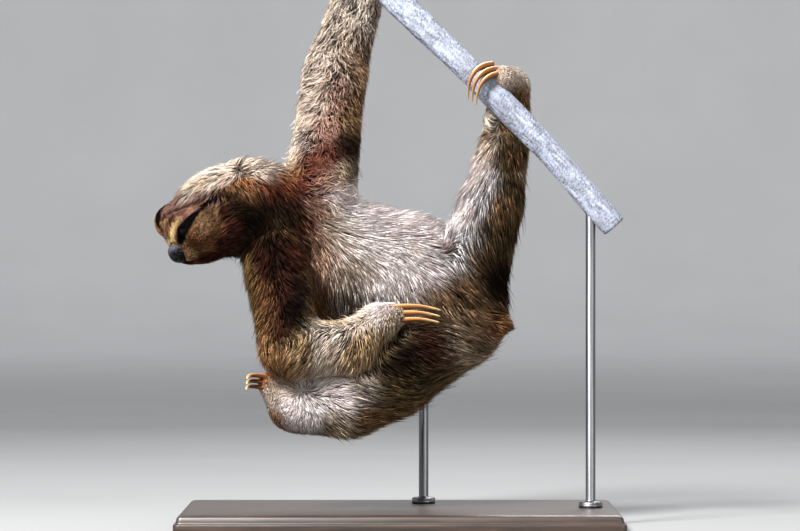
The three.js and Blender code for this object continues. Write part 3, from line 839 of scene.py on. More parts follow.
SIDE_WEIGHT = 5.0          # how strictly the front's patches keep to the front
HEAD_SHARPNESS = 1.8       # how abruptly the head's patches change
MARK_FADE = (1.25, 0.75)   # where a mark fades in, as shares of half its width
SHARE_BLEND = 0.005        # over what depth one group's coat gives way to another's


def mixture(places, area, weight_offsets, sharpness=1):
    """At each place, the ways and colours of an area's patches, mixed by how near they are."""
    centres = np.array([patch.place for patch in area])
    reaches = np.array([patch.reach for patch in area])
    gaps = norms(places[:, None] - centres[None]) / reaches
    weights = weight_offsets - sharpness * gaps * gaps
    weights = np.exp(weights - weights.max(1, keepdims=True))
    weights /= weights.sum(1, keepdims=True)
    return [
        weights @ np.array([getattr(patch, field) for patch in area])
        for field in ("way", "dark", "light")
    ]


def limb_mixture(points, normals, front, back):
    """The mixture on the body or a limb, whose front and back have patches of their own."""
    facing = normals[:, 1:2]
    front_offset = -SIDE_WEIGHT * (0.5 + 0.5 * facing) ** 2
    back_offset = -SIDE_WEIGHT * (0.5 - 0.5 * facing) ** 2
    offsets = np.concatenate([
        np.repeat(front_offset, len(front), 1), np.repeat(back_offset, len(back), 1)], 1)
    return mixture(points[:, [0, 2]], front + back, offsets)


def head_mixture(points):
    """The mixture on the head, whose two sides share their patches, with the marks over it."""
    local = head_frame(points)
    sign = np.where(local[:, 1] < 0, -1.0, 1.0)
    folded = np.stack([local[:, 0], np.abs(local[:, 1]), local[:, 2]], 1)
    way, dark, light = mixture(folded, HEAD_PATCHES, 0, HEAD_SHARPNESS)
    way[:, 1] *= sign
    for line in MARKS:
        share = line.strength * smooth_step(*MARK_FADE, gap_to_line(local, line))[:, None]
        dark, light = mixed(dark, line.dark, share), mixed(light, line.light, share)
    return way @ HEAD_AXES, dark, light


def gap_to_line(local, line):
    """How far points are from a mark's line, seen from inside the head, over half its width."""
    gaps = []
    for start, end, first, last in zip(
            line.places, line.places[1:], line.half_widths, line.half_widths[1:]):
        level = unit(local) * np.linalg.norm((start + end) / 2)
        run = end - start
        along = np.clip((level - start) @ run / (run @ run), 0, 1)[:, None]
        gaps.append(norms(level - start - run * along) / mixed(first, last, along[:, 0]))
    return np.min(gaps, 0)


def coat_at(points, normals):
    """The unit way the hair lies along the skin, and its dark and light colours."""
    body = {name: flesh for name, flesh in BODY.items() if name != "head"}
    depths = [group_distance(group, points, 1) for group in (body, RIGHT_ARM, RIGHT_LEG)]
    depths.append(HEAD_FIELD(points, 1))
    shares = np.exp(-np.stack(depths, 1) / SHARE_BLEND + np.min(depths, 0)[:, None] / SHARE_BLEND)
    shares /= shares.sum(1, keepdims=True)
    mixtures = [
        limb_mixture(points, normals, BODY_FRONT, BODY_BACK),
        limb_mixture(points, normals, ARM_FRONT, ARM_BACK),
        limb_mixture(points, normals, LEG_FRONT, LEG_BACK),
        head_mixture(points),
    ]
    way, dark, light = (
        sum(share[:, None] * found[part] for share, found in zip(shares.T, mixtures))
        for part in range(3)
    )
    return along_skin(way, normals), dark, light


def along_skin(way, normals):
    flat = way - normals * np.einsum("ni,ni->n", way, normals)[:, None]
    return unit(flat)


NOISE_SIZE = 32
NOISE = random.uniform(-1, 1, (NOISE_SIZE, NOISE_SIZE, NOISE_SIZE))


def noise(points, scale, shift=0.0):
    """Smooth random values between -1 and 1, in lumps about as large as scale."""
    spot = points / scale + shift
    cell = np.floor(spot).astype(int)
    share = smooth_step(0, 1, spot - cell)
    total = np.zeros(len(points))
    for corner in itertools.product((0, 1), repeat=3):
        weight = np.prod(np.where(corner, share, 1 - share), axis=1)
        total += weight * NOISE[tuple(((cell + corner) % NOISE_SIZE).T)]
    return total


# ---------------------------------------------------------------- the coat's tufts

TUFTS = 136_000
LENGTH_PER_DEPTH = 1.9
LONGEST, SHORTEST = 0.030, 0.0036
WIDTH_BASE, WIDTH_PER_LENGTH = 0.00030, 0.0200
DEEPEST, SHALLOWEST = 0.018, 0.001       # the depth of the coat is kept between these
LOWEST = 0.0005        # how far a tuft's centre line stays off the skin
LOCK_SIZES = (0.0010, 0.0015, 0.0022)    # across the locks of short, middling and long coat
LOCK_LENGTHS = (0.009, 0.017)            # tuft lengths that part these
PATCH = 0.003          # a tuft's patch on its map
ROOT_DEPTH = 0.0006    # how far tufts are sunk into the skin
OVERHANG = 0.62        # share of its own height that a tuft keeps over shorter coat
FEWER_BEHIND = 0.3     # how much thinner the coat is sown on the far side
FEWER_ON_PAWS = 0.55   # how much of the coat's density hands and feet keep
SPARSER = {"face": 0.68, "left_forearm": 0.60, "left_upper_arm": 0.95}    # and these parts
LONGER_COAT = {"left_shin": 1.35, "left_thigh": 1.25, "chest": 1.1, "belly": 1.1}

# How high in the coat tips lie, as shares of its depth, and how far whole lumps of it differ.
TOPS = {"mean": 0.82, "spread": 0.13, "lumps": 0.1, "range": (0.4, 1.05)}
STRAYS = 0.012         # share of tufts that stand out from the rest
STRAY_TOPS = (1.1, 1.5)
LENGTH_RANGE = (0.7, 1.15)
WIDTH_RANGE = (0.7, 1.25)
LOCK_PULL, OWN_PULL = (0.1, 0.7), (0.4, 1)   # how strongly a lock draws its tufts in

# How light tufts are between their darkest and lightest hair, and how that differs from lock to
# lock and from tuft to tuft.
TONE = {"mean": 0.53, "lock": 0.15, "tuft": 0.36, "power": 1.4, "highest": 1.05}
TIP_LIGHT = (-0.3, 0.8)    # between these shares of its length a tuft gets lighter
# Roots are darkened as painted shade down among the tufts.
ROOT_PAINTED_SHADE = 0.4           # how dark the root is, up to half the length
CORNER_DROP, RIDGE_RISE = 0.35, 0.7    # a tuft's three corners off its line, in half widths

STRAIGHT = {
    "stations": (0, 0.45, 1), "rises": (0, 0.62, 1), "taper": (0.85, 1),
    "sway": 0.28, "scatter": 0.10, "patchy": 0.12,
}
CURLED = {
    "stations": (0, 0.33, 0.68, 1), "rises": (0, 0.50, 0.84, 1), "taper": (0.7, 1, 0.75),
    "sway": 1.3, "scatter": 0.45, "patchy": 0.34,
}
CURLY_FLESH = ("left_upper_arm", "left_forearm")

# Which flesh each piece of coat grows on.
COATS = {
    "coat_face": ("face",),
    "coat_head": ("head",),
    "coat_neck": ("neck",),
    "coat_chest": ("chest",),
    "coat_belly": ("belly",),
    "coat_rump": ("rump", "tail"),
    "coat_left_upper_arm": ("left_upper_arm",),
    "coat_left_forearm": ("left_forearm", "left_hand"),
    "coat_left_thigh": ("left_thigh",),
    "coat_left_shin": ("left_shin", "left_foot"),
    "coat_right_upper_arm": ("right_upper_arm",),
    "coat_right_forearm": ("right_forearm", "right_hand"),
    "coat_right_thigh": ("right_thigh",),
    "coat_right_shin": ("right_shin", "right_foot"),
}


def tuft_length(depth):
    return np.clip(depth * LENGTH_PER_DEPTH, SHORTEST, LONGEST)


def tuft_width(length):
    return WIDTH_BASE + WIDTH_PER_LENGTH * length


def coat_depth(points, bare=None):
    bare = skin_distance(points) if bare is None else bare
    return np.clip(bare - coat_distance(points), SHALLOWEST, DEEPEST)


def sample(points, quads, count, density):
    """Random roots on the skin, as many to each face as its area and density ask for."""
    corners = points[quads]
    area = norms(np.cross(corners[:, 2] - corners[:, 0], corners[:, 3] - corners[:, 1])) / 2
    chance = area * density
    face = random.choice(len(quads), count, p=chance / chance.sum())
    u, v = random.random((2, count, 1))
    a, b, c, d = (corners[face, k] for k in range(4))
    return mixed(mixed(a, b, u), mixed(d, c, u), v)


def facing(points):
    """The skin's outward direction at each point, and the point's distance from it."""
    bare = skin_distance(points)
    return unit(slope(skin_distance, points, bare)), bare


EYE_CLEARANCE = 0.6        # in thicknesses of the lids
NOSE_CLEARANCE = 0.0006


def clear_of_face(roots):
    """False where a root would stand on an eye or on the nose pad."""
    local = head_frame(roots)
    clear = np.ones(len(roots), bool)
    for centre, _ in eye_places():
        clear &= norms(local - centre) > EYE["radius"] + LID["thickness"] * EYE_CLEARANCE
    pad = (local - at(NOSE["forward"], 0, NOSE["up"])) / (NOSE["half_sizes"] + NOSE_CLEARANCE)
    return clear & (norms(pad) > 1)


def walk(roots, normals, lengths, tops, turns, kind):
    """Centre lines: each runs along the lie of the coat and rises to its place in the coat."""
    lines, ups = [roots - normals * ROOT_DEPTH], [normals]
    here, up = roots, normals
    own_depth = coat_depth(roots) * OVERHANG
    stations, rises = kind["stations"], kind["rises"]
    for step in range(1, len(stations)):
        way = coat_at(here, up)[0]
        turn = turns[:, step - 1, None]
        way = way * np.cos(turn) + np.cross(up, way) * np.sin(turn)
        here = here + way * (lengths * (stations[step] - stations[step - 1]))[:, None]
        up, bare = facing(here)
        depth = np.maximum(coat_depth(here, bare), own_depth)
        height = np.maximum(rises[step] * tops * depth, LOWEST)
        here = here + up * (height - bare)[:, None]
        lines.append(here)
        ups.append(up)
    return np.stack(lines, 1), np.stack(ups, 1)


def locks_of(roots, lengths):
    """The number of the lock that each tuft belongs to."""
    kind = np.searchsorted(LOCK_LENGTHS, lengths)
    size = np.array(LOCK_SIZES)[kind][:, None]
    wobble = np.stack([noise(roots, 0.009, shift) for shift in (0.3, 11.7, 23.1)], 1) * size
    cells = np.floor((roots + wobble) / size).astype(int)
    return np.unique(np.column_stack([cells, kind]), axis=0, return_inverse=True)[1].ravel()


def gathered(lines, locks, pull):
    """Draws the ends of a lock's tufts together."""
    count = np.bincount(locks)
    drawn = lines.copy()
    last = lines.shape[1] - 1
    for station in range(1, last + 1):
        middle = [np.bincount(locks, lines[:, station, axis]) / count for axis in range(3)]
        middle = np.stack(middle, 1)[locks]
        drawn[:, station] = mixed(lines[:, station], middle, (pull * station / last)[:, None])
    return drawn


def tuft_points(lines, ups, widths, shares):
    """Rings of three points round each centre line, then the point at its tip."""
    ahead = unit(np.gradient(lines, axis=1))
    side = unit(np.cross(ahead, ups))
    top = np.cross(side, ahead)
    points = []
    for ring, share in enumerate(shares):
        half = (widths * share / 2)[:, None]
        middle = lines[:, ring] - top[:, ring] * half * CORNER_DROP
        points += [middle + side[:, ring] * half, middle - side[:, ring] * half]
        points.append(lines[:, ring] + top[:, ring] * half * RIDGE_RISE)
    points.append(lines[:, -1])
    return np.stack(points, 1)


def tuft_faces(rings):
    """The triangles of one closed tuft."""
    faces = [(0, 2, 1)]
    for ring, corner in itertools.product(range(rings - 1), range(3)):
        a, b = ring * 3 + corner, ring * 3 + (corner + 1) % 3
        faces += [(a, b, b + 3), (a, b + 3, a + 3)]
    last = (rings - 1) * 3
    faces += [(last + corner, last + (corner + 1) % 3, last + 3) for corner in range(3)]
    return np.array(faces)


def tuft_colours(lines, ups, locks, kind):
    """Each tuft has the colours of the coat where its tip lies, and is darkest at its root, with
    painted shade deep in the coat.
    """
    _, dark, light = coat_at(lines[:, -2:].mean(1), unit(ups[:, -2:].sum(1)))
    tone = TONE["mean"] + kind["patchy"] * noise(lines[:, 0], 0.013, 5.5)
    tone += random.normal(0, TONE["lock"], locks.max() + 1)[locks]
    tone += random.normal(0, TONE["tuft"], len(lines))
    tone = np.clip(tone, 0, TONE["highest"]) ** TONE["power"]
    colours = []
    for share in kind["stations"]:
        lightness = tone * smooth_step(*TIP_LIGHT, share)
        root_painted_shade = mixed(ROOT_PAINTED_SHADE, 1, smooth_step(0, 0.5, share))
        colours.append(mixed(dark, light, lightness[:, None]) * root_painted_shade)
    spread = [colour for colour in colours[:-1] for _ in range(3)]
    return np.clip(np.stack(spread + [colours[-1]], 1), 0, 1)


def unwrapped(roots, flesh, tile, tiles):
    """Each root's place on a map: round its flesh's axis, and along it."""
    axis = unit(flesh.end - flesh.start)
    across = unit(np.cross(axis, (0.2, 1, 0.1)))
    over = np.cross(axis, across)
    offset = roots - flesh.start
    angle = np.arctan2(offset @ over, offset @ across) / (2 * math.pi) + 0.5
    length = np.linalg.norm(flesh.end - flesh.start)
    along = np.clip((offset @ axis / length + 0.5) / 2, 0, 1)
    margin = 2 * PATCH
    place = np.stack([(tile + mixed(margin, 1 - margin, angle)) / tiles, along], 1)
    return np.clip(place, margin, 1 - margin)


def patch_corners(places, kind):
    """Map places for all points of each tuft, spread over its own small patch."""
    rings = len(kind["stations"]) - 1
    offsets = [
        (corner / 2 - 0.5, kind["stations"][ring] - 0.5)
        for ring in range(rings) for corner in range(3)
    ]
    offsets.append((0, 0.5))
    return places[:, None] + np.array(offsets)[None] * PATCH


Growth = namedtuple("Growth", "points colours places faces owners")


def owners_of(roots):
    """The name of the flesh that each root stands on, with the face apart from the head."""
    names = np.array(list(FLESH))
    nearest = np.argmin([FLESH[name].distance(roots, 1) for name in names], 0)
    ahead = head_frame(roots)[:, 0] > FACE["from"]
    return np.where((names[nearest] == "head") & ahead, "face", names[nearest])


def tops_of(roots):
    """How high in the coat each tuft's tip lies, and which tufts are strays."""
    count = len(roots)
    tops = random.normal(TOPS["mean"], TOPS["spread"], count)
    tops = np.clip(tops + TOPS["lumps"] * noise(roots, 0.02, 9.0), *TOPS["range"])
    stray = random.random(count) < STRAYS
    return np.where(stray, random.uniform(*STRAY_TOPS, count), tops), stray


def turns_of(roots, kind):
    """How far each stretch of a tuft turns away from the lie of the coat."""
    bends = len(kind["stations"]) - 1
    sway = np.stack([noise(roots, 0.014, 3.0 + 7 * bend) for bend in range(bends)], 1)
    return sway * kind["sway"] + random.normal(0, kind["scatter"], (len(roots), bends))


def map_places(roots, owners):
    """Each root's place on the map of its own piece, which has a tile for each flesh."""
    places = np.empty((len(roots), 2))
    for fleshes in COATS.values():
        for tile, name in enumerate(fleshes):
            own = owners == name
            flesh = FLESH.get(name, FLESH["head"])
            places[own] = unwrapped(roots[own], flesh, tile, len(fleshes))
    return places


def grow(roots, lengths, kind):
    """Tufts of one kind from these roots, with all that their meshes need."""
    normals, bare = facing(roots)
    roots = roots - normals * bare[:, None]
    count = len(roots)
    tops, stray = tops_of(roots)
    turns = turns_of(roots, kind)
    owners = owners_of(roots)
    longer = np.array([LONGER_COAT.get(name, 1) for name in owners])
    lengths = lengths * random.uniform(*LENGTH_RANGE, count) * longer
    lines, ups = walk(roots, normals, lengths, tops, turns, kind)
    locks = locks_of(roots, lengths)
    pull = random.uniform(*LOCK_PULL, locks.max() + 1)[locks] * random.uniform(*OWN_PULL, count)
    lines = gathered(lines, locks, np.where(stray, 0, pull))
    widths = tuft_width(lengths) * random.uniform(*WIDTH_RANGE, count)
    points = tuft_points(lines, ups, widths, kind["taper"])
    colours = tuft_colours(lines, ups, locks, kind)
    places = patch_corners(map_places(roots, owners), kind)
    return Growth(points, colours, places, tuft_faces(len(kind["stations"]) - 1), owners)


def coat_piece(name, growths, material):
    """One mesh of all the tufts that grow on a piece's flesh."""
    points, colours, places, corners = [], [], [], []
    first = 0
    for growth in growths:
        own = np.isin(growth.owners, COATS[name])
        count, per_tuft = own.sum(), growth.points.shape[1]
        starts = first + np.arange(count) * per_tuft
        points.append(growth.points[own].reshape(-1, 3))
        colours.append(growth.colours[own].reshape(-1, 3))
        places.append(growth.places[own].reshape(-1, 2))
        corners.append((growth.faces[None] + starts[:, None, None]).ravel())
        first += count * per_tuft
    corners = np.concatenate(corners)
    piece = mesh_from(name, np.concatenate(points), corners, 3)
    colour_points(piece, "coat", np.concatenate(colours))
    layer = piece.data.uv_layers.new(name="OFBake")
    layer.data.foreach_set("uv", np.concatenate(places)[corners].astype(np.float32).ravel())
    return finished(piece, "coat", material)


def crowding(points, quads):
    """How close together tufts are sown on each face of the skin."""
    corners = points[quads]
    middles = corners.mean(1)
    lengths = tuft_length(coat_depth(middles))
    density = 1 / (lengths * tuft_width(lengths))
    outward = unit(np.cross(corners[:, 2] - corners[:, 0], corners[:, 3] - corners[:, 1]))
    density *= 1 - FEWER_BEHIND * smooth_step(-0.3, 0.8, outward[:, 1])
    owners = owners_of(middles)
    density *= np.array([SPARSER.get(name, 1) for name in owners])
    density[np.char.endswith(owners, "hand") | np.char.endswith(owners, "foot")] *= FEWER_ON_PAWS
    return density


def add_coat(skin_points, skin_quads, material):
    roots = sample(skin_points, skin_quads, TUFTS, crowding(skin_points, skin_quads))
    roots = roots[clear_of_face(roots)]
    lengths = tuft_length(coat_depth(roots))
    curly = np.isin(owners_of(roots), CURLY_FLESH)
    growths = [
        grow(roots[curly], lengths[curly], CURLED),
        grow(roots[~curly], lengths[~curly], STRAIGHT),
    ]
    for name in COATS:
        coat_piece(name, growths, material)


# ---------------------------------------------------------------- materials

def new_material(name, **settings):
    """A Principled material with these settings, which use _ for a space."""
    material = bpy.data.materials.new(name)
    material.use_nodes = True
    shader = material.node_tree.nodes["Principled BSDF"]
    for key, value in settings.items():
        shader.inputs[key.replace("_", " ")].default_value = value
    return material, material.node_tree, shader


def node(tree, kind, inputs, **settings):
    """A shader node. An input is a value, or another node's output to link."""
    made = tree.nodes.new("ShaderNode" + kind)
    for key, value in settings.items():
        setattr(made, key, value)
    for key, value in inputs.items():
        if isinstance(value, bpy.types.NodeSocket):
            tree.links.new(value, made.inputs[key])
        else:
            made.inputs[key].default_value = value
    return made


def own_place(tree):
    return node(tree, "TexCoord", {}).outputs["Object"]


def noise_of(tree, scale, detail=4.0, stretch=(1, 1, 1)):
    place = node(tree, "Mapping", {"Vector": own_place(tree), "Scale": stretch})
    inputs = {"Vector": place.outputs["Vector"], "Scale": scale, "Detail": detail}
    return node(tree, "TexNoise", inputs).outputs["Fac"]


def painted(tree, name):
    return node(tree, "Attribute", {}, attribute_name=name).outputs["Color"]


def varied(tree, colour, fac, low, high):
    """The colour times a brightness that fac moves between low and high."""
    spread = {"Value": fac, "From Min": 0.3, "From Max": 0.7, "To Min": low, "To Max": high}
    factor = node(tree, "MapRange", spread).outputs["Result"]
    scaled = node(tree, "VectorMath", {0: colour, "Scale": factor}, operation="SCALE")
    return scaled.outputs["Vector"]


def add_colour(tree, shader, colour, fac, low, high):
    tree.links.new(varied(tree, colour, fac, low, high), shader.inputs["Base Color"])


def add_bump(tree, shader, height, strength, distance):
    inputs = {"Height": height, "Strength": strength, "Distance": distance}
    bump = node(tree, "Bump", inputs)
    tree.links.new(bump.outputs["Normal"], shader.inputs["Normal"])


def flat_colour(tree, *colour):
    """A node that gives one colour, in linear light."""
    made = node(tree, "RGB", {}).outputs[0]
    made.default_value = (*colour, 1)
    return made


def coat_material():
    material, tree, shader = new_material("coat", Roughness=0.7, Specular_IOR_Level=0.03)
    tree.links.new(painted(tree, "coat"), shader.inputs["Base Color"])
    return material


def skin_material():
    material, tree, shader = new_material("skin", Roughness=0.8, Specular_IOR_Level=0.03)
    grain = noise_of(tree, 900)
    add_colour(tree, shader, painted(tree, "coat"), grain, low=0.7, high=1.2)
    add_bump(tree, shader, grain, strength=0.6, distance=0.0006)
    return material


def eye_material():
    material, tree, shader = new_material("eye", Roughness=0.08, Specular_IOR_Level=0.1)
    streaks = noise_of(tree, 1400)
    add_colour(tree, shader, painted(tree, "iris"), streaks, low=0.6, high=1.5)
    return material


def nose_material():
    """Damp skin in small cells with darker edges."""
    material, tree, shader = new_material("nose", Roughness=0.22, Specular_IOR_Level=0.08)
    voronoi = node(tree, "TexVoronoi", {"Vector": own_place(tree), "Scale": 1500.0}, feature="F1")
    cells = voronoi.outputs["Distance"]
    add_colour(tree, shader, painted(tree, "pad"), cells, low=1.25, high=0.7)
    add_bump(tree, shader, cells, strength=0.9, distance=0.0005)
    return material


def claw_material():
    material, tree, shader = new_material("claw", Roughness=0.4, Specular_IOR_Level=0.35)
    grain = noise_of(tree, 700, detail=6.0)
    add_colour(tree, shader, painted(tree, "horn"), grain, low=0.72, high=1.2)
    add_bump(tree, shader, grain, strength=0.25, distance=0.0003)
    return material


def bark_material():
    material, tree, shader = new_material("bark", Roughness=0.85, Specular_IOR_Level=0.2)
    grain = noise_of(tree, 260, detail=8.0)
    add_colour(tree, shader, painted(tree, "bark"), grain, low=0.68, high=1.18)
    add_bump(tree, shader, noise_of(tree, 800, detail=6.0), strength=0.7, distance=0.0007)
    return material


def wood_material():
    settings = {"Roughness": 0.42, "Coat_Weight": 0.25, "Coat_Roughness": 0.3}
    material, tree, shader = new_material("base_wood", **settings)
    grain = noise_of(tree, 60, detail=8.0, stretch=(0.25, 5, 5))
    pores = noise_of(tree, 420, detail=3.0, stretch=(0.12, 3, 3))
    brown = varied(tree, flat_colour(tree, 0.030, 0.017, 0.011), grain, low=0.45, high=1.7)
    add_colour(tree, shader, brown, pores, low=0.7, high=1.1)
    add_bump(tree, shader, pores, strength=0.25, distance=0.0003)
    return material


def steel_material():
    material, tree, shader = new_material("rod_steel", Metallic=1.0)
    brushed = noise_of(tree, 500, detail=5.0, stretch=(1, 1, 0.03))
    add_colour(tree, shader, flat_colour(tree, 0.20, 0.20, 0.21), brushed, low=0.75, high=1.2)
    rough = {"Value": brushed, "To Min": 0.28, "To Max": 0.48}
    tree.links.new(node(tree, "MapRange", rough).outputs["Result"], shader.inputs["Roughness"])
    return material


# ---------------------------------------------------------------- the skin

# The skin under the coat is painted dark. Part of that is the darker undercoat, and part is painted
# shade that the coat casts, darker under deeper coat.
UNDERCOAT_DEEP = 0.010       # the depth of coat over which the skin is darkest
SKIN_PAINTED_SHADES = (0.85, 0.32)   # how dark it is under bare and under deep coat
SKIN_TONE = 0.22             # and where between the darkest and lightest hair


def add_skin():
    """The skin, coloured as the coat's roots are, with painted shade under deep coat. Returns its
    points and faces for the tufts.
    """
    values, planes = skin_lattice()
    points, quads = surface_net(values, planes)
    points = settled(points, skin_distance, passes=2, furthest=CELL)
    skin = mesh_from("skin", points, quads.ravel(), 4)
    normals, bare = facing(points)
    _, dark, light = coat_at(points, normals)
    depth = coat_depth(points, bare)
    shade = mixed(*SKIN_PAINTED_SHADES, smooth_step(SHALLOWEST, UNDERCOAT_DEEP, depth))[:, None]
    colour_points(skin, "coat", mixed(dark, light, SKIN_TONE) * shade)
    finished(skin, "coat", skin_material(), *FLESH)
    return points, quads


# ---------------------------------------------------------------- round and swept pieces

def angles_round(count):
    return np.arange(count) * 2 * math.pi / count


def grid_corners(rows, columns):
    """Quads between rows of points, each row closed into a ring."""
    row, column = np.mgrid[0:rows - 1, 0:columns]
    after = (column + 1) % columns
    return np.stack([row * columns + column, row * columns + after,
                     (row + 1) * columns + after, (row + 1) * columns + column], -1).reshape(-1, 4)


def closed_rings(name, rings):
    """A closed mesh from an array of rings. Its two ends are fans to their middles."""
    rows, columns = rings.shape[:2]
    points = np.concatenate([rings.reshape(-1, 3), rings[[0, -1]].mean(1)])
    quads = grid_corners(rows, columns)
    column = np.arange(columns)
    after = (column + 1) % columns
    first, last = rows * columns, rows * columns + 1
    end = (rows - 1) * columns
    caps = np.concatenate([
        np.stack([after, column, np.full(columns, first)], 1),
        np.stack([end + column, end + after, np.full(columns, last)], 1),
    ])
    halves = np.concatenate([quads[:, [0, 1, 2]], quads[:, [0, 2, 3]], caps])
    return mesh_from(name, points, halves.ravel(), 3), points


POLE = 0.02            # the angle of a ball's first ring from its pole


def ball(name, centre, axes, half_sizes, rows, columns):
    """An oval whose rings run round axes[0], from its front end to its back."""
    down, turn = np.meshgrid(np.linspace(POLE, math.pi - POLE, rows), angles_round(columns),
                             indexing="ij")
    out = np.sin(down)
    local = np.stack([np.cos(down), out * np.cos(turn), out * np.sin(turn)], -1)
    return closed_rings(name, centre + (local * half_sizes) @ axes)


def lathed(profile, sides, middle=(0, 0), base=0):
    """Upright rings of points from a profile of radii and heights."""
    turn = angles_round(sides)
    return np.array([
        np.stack([middle[0] + radius * np.cos(turn), middle[1] + radius * np.sin(turn),
                  np.full(sides, base + height)], 1)
        for radius, height in profile
    ])


IRIS_BROWN, PUPIL_BLACK = linear((20, 10, 7)), linear((3, 2, 2))
PUPIL_EDGE, IRIS_EDGE = (0.80, 0.86), (0.50, 0.42)    # how far forward, in eye radii
RIM_SHADE = 0.6        # how dark the eye is outside its iris


def add_eyes():
    material = eye_material()
    for name, (centre, gaze) in zip(("left_eye", "right_eye"), eye_places()):
        across = unit(np.cross((0, 0, 1), gaze))
        axes = np.array([gaze, across, np.cross(gaze, across)])
        eye, points = ball(name + "_ball", in_head(*centre), axes @ HEAD_AXES,
                           np.full(3, EYE["radius"]), rows=48, columns=64)
        ahead = (head_frame(points) - centre) @ gaze / EYE["radius"]
        black = smooth_step(*PUPIL_EDGE, ahead) + smooth_step(*IRIS_EDGE, ahead) * RIM_SHADE
        shade = mixed(IRIS_BROWN, PUPIL_BLACK, np.clip(black, 0, 1)[:, None])
        colour_points(eye, "iris", shade)
        finished(eye, "eye", material, name)


NOSE_CORNERS = 0.85    # below 1, it fills the pad's corners out
NOSTRIL = {
    "side": 0.0042, "up": -0.0022, "breadth": 0.0019, "height": 0.0014, "depth": 0.0022,
    "slant": 0.5, "front": (-0.2, 0.5),
}
GROOVE = {"breadth": 0.0007, "depth": 0.0006, "fade": (0.004, -0.002)}
# The grey on the pad's upper part is a painted sheen. It stands in for light glancing off the damp
# black nose.
NOSE_SHEEN = {"edge": (0.0022, 0.0095), "slant": 0.45}    # where the pad's upper part turns grey
NOSE_BLACK, NOSE_SHEEN_GREY, NOSTRIL_SHADE = linear((4, 3, 4)), linear((68, 65, 71)), linear((2, 2, 2))


def add_nose():
    """A squarish pad with two nostrils and the groove between them."""
    centre = in_head(NOSE["forward"], 0, NOSE["up"])
    halves = NOSE["half_sizes"]
    pad, points = ball("nose_pad", centre, HEAD_AXES, halves, rows=72, columns=96)
    shares = (head_frame(points) - at(NOSE["forward"], 0, NOSE["up"])) / halves
    local = np.sign(shares) * np.abs(shares) ** NOSE_CORNERS * halves
    forward, side, up = local.T
    ahead = smooth_step(*NOSTRIL["front"], forward / halves[0])
    off = np.abs(side) - NOSTRIL["side"]
    slanted = up - NOSTRIL["up"] - off * NOSTRIL["slant"]
    hole = np.exp(-(off / NOSTRIL["breadth"]) ** 2 - (slanted / NOSTRIL["height"]) ** 2)
    groove = np.exp(-(side / GROOVE["breadth"]) ** 2) * smooth_step(*GROOVE["fade"], up)
    sunk = (hole * NOSTRIL["depth"] + groove * GROOVE["depth"]) * ahead
    place_points(pad, centre + local @ HEAD_AXES - HEAD_AXES[0] * sunk[:, None])
    # painted sheen: the upper part of the pad is a lighter grey
    sheen = smooth_step(*NOSE_SHEEN["edge"], up - NOSE_SHEEN["slant"] * side)[:, None]
    shade = mixed(NOSE_BLACK, NOSE_SHEEN_GREY, sheen)
    # The nostrils are painted darkest: painted shade inside them.
    colour_points(pad, "pad", mixed(shade, NOSTRIL_SHADE, hole[:, None] * ahead[:, None]))
    finished(pad, "nose", nose_material(), "nose")


def arc_even(curve, steps, first=0.0):
    """Points spaced evenly along a curve given as a function of t, up to t = 1."""
    t = np.linspace(first, 1, 400)
    fine = curve(t)
    travelled = np.concatenate([[0], np.cumsum(norms(np.diff(fine, axis=0)))])
    even = np.interp(np.linspace(0, travelled[-1], steps + 1), travelled, t)
    return curve(even)


def sweep(name, middles, side, radius_at, columns):
    """A closed tube round a line. radius_at gives radii from shares of the length and angles."""
    ahead = unit(np.gradient(middles, axis=0))
    in_plane = unit(np.cross(side, ahead))
    share, angle = np.meshgrid(np.linspace(0, 1, len(middles)), angles_round(columns),
                               indexing="ij")
    radius = radius_at(share, angle)[..., None]
    out = in_plane[:, None] * np.cos(angle)[..., None] + side * np.sin(angle)[..., None]
    return closed_rings(name, middles[:, None] + out * radius)


def outward_of(points, middles, nearest):
    """The way out from a line's nearest point to each point round it."""
    return unit(points - middles[nearest])


# The first of three claws side by side: its root, bend and tip, and the steps to the next.
CLAW_SETS = {
    "left_hand": (at(-0.033, -0.005, 0.592), at(-0.041, -0.037, 0.583), at(-0.062, -0.021, 0.564),
                  at(-0.006, 0, 0.006), at(-0.0055, 0, 0.006)),
    "right_hand": (at(-0.010, -0.042, 0.217), at(0.016, -0.045, 0.222), at(0.041, -0.036, 0.215),
                   at(0.001, 0, -0.007), at(-0.001, -0.001, -0.006)),
    "left_foot": (at(0.098, -0.012, 0.450), at(0.076, -0.044, 0.447), at(0.076, -0.020, 0.419),
                  at(-0.0056, -0.0012, 0.0045), at(-0.004, 0.0005, 0.003)),
    "right_foot": (at(-0.130, -0.064, 0.1495), at(-0.150, -0.070, 0.154), at(-0.149, -0.096, 0.149),
                   at(-0.0005, 0.001, -0.0057), at(-0.0005, 0.0005, -0.0052)),
}
CLAW_ROOT = -0.12      # how far back into the paw a claw is carried on, as a share of its curve
CLAW_STEPS, CLAW_SIDES = 56, 24
CLAW = {
    "root": 0.0038, "tip": 0.0007,         # half its depth at both ends
    "lateness": 1.6,                       # how late it gets thin
    "flatness": 0.66, "keel": 0.05,        # its section
    "point": (0.965, 1.0), "blunting": 0.75,
    # the pale edge is a painted highlight, so it is turned up towards the light
    "highlight_lift": 1.2,                     # how far up the pale edge is turned
}
HORN_CREAM = linear((238, 212, 158))
HORN_AMBER = linear((150, 94, 44))
HORN_DARK = linear((72, 34, 18))
HIGHLIGHT_CREST, SHADED_INNER_SIDE, PALE_TIP = (0.86, 0.99), (0.6, -0.3), (0.6, 1.0)    # where each shade sets in


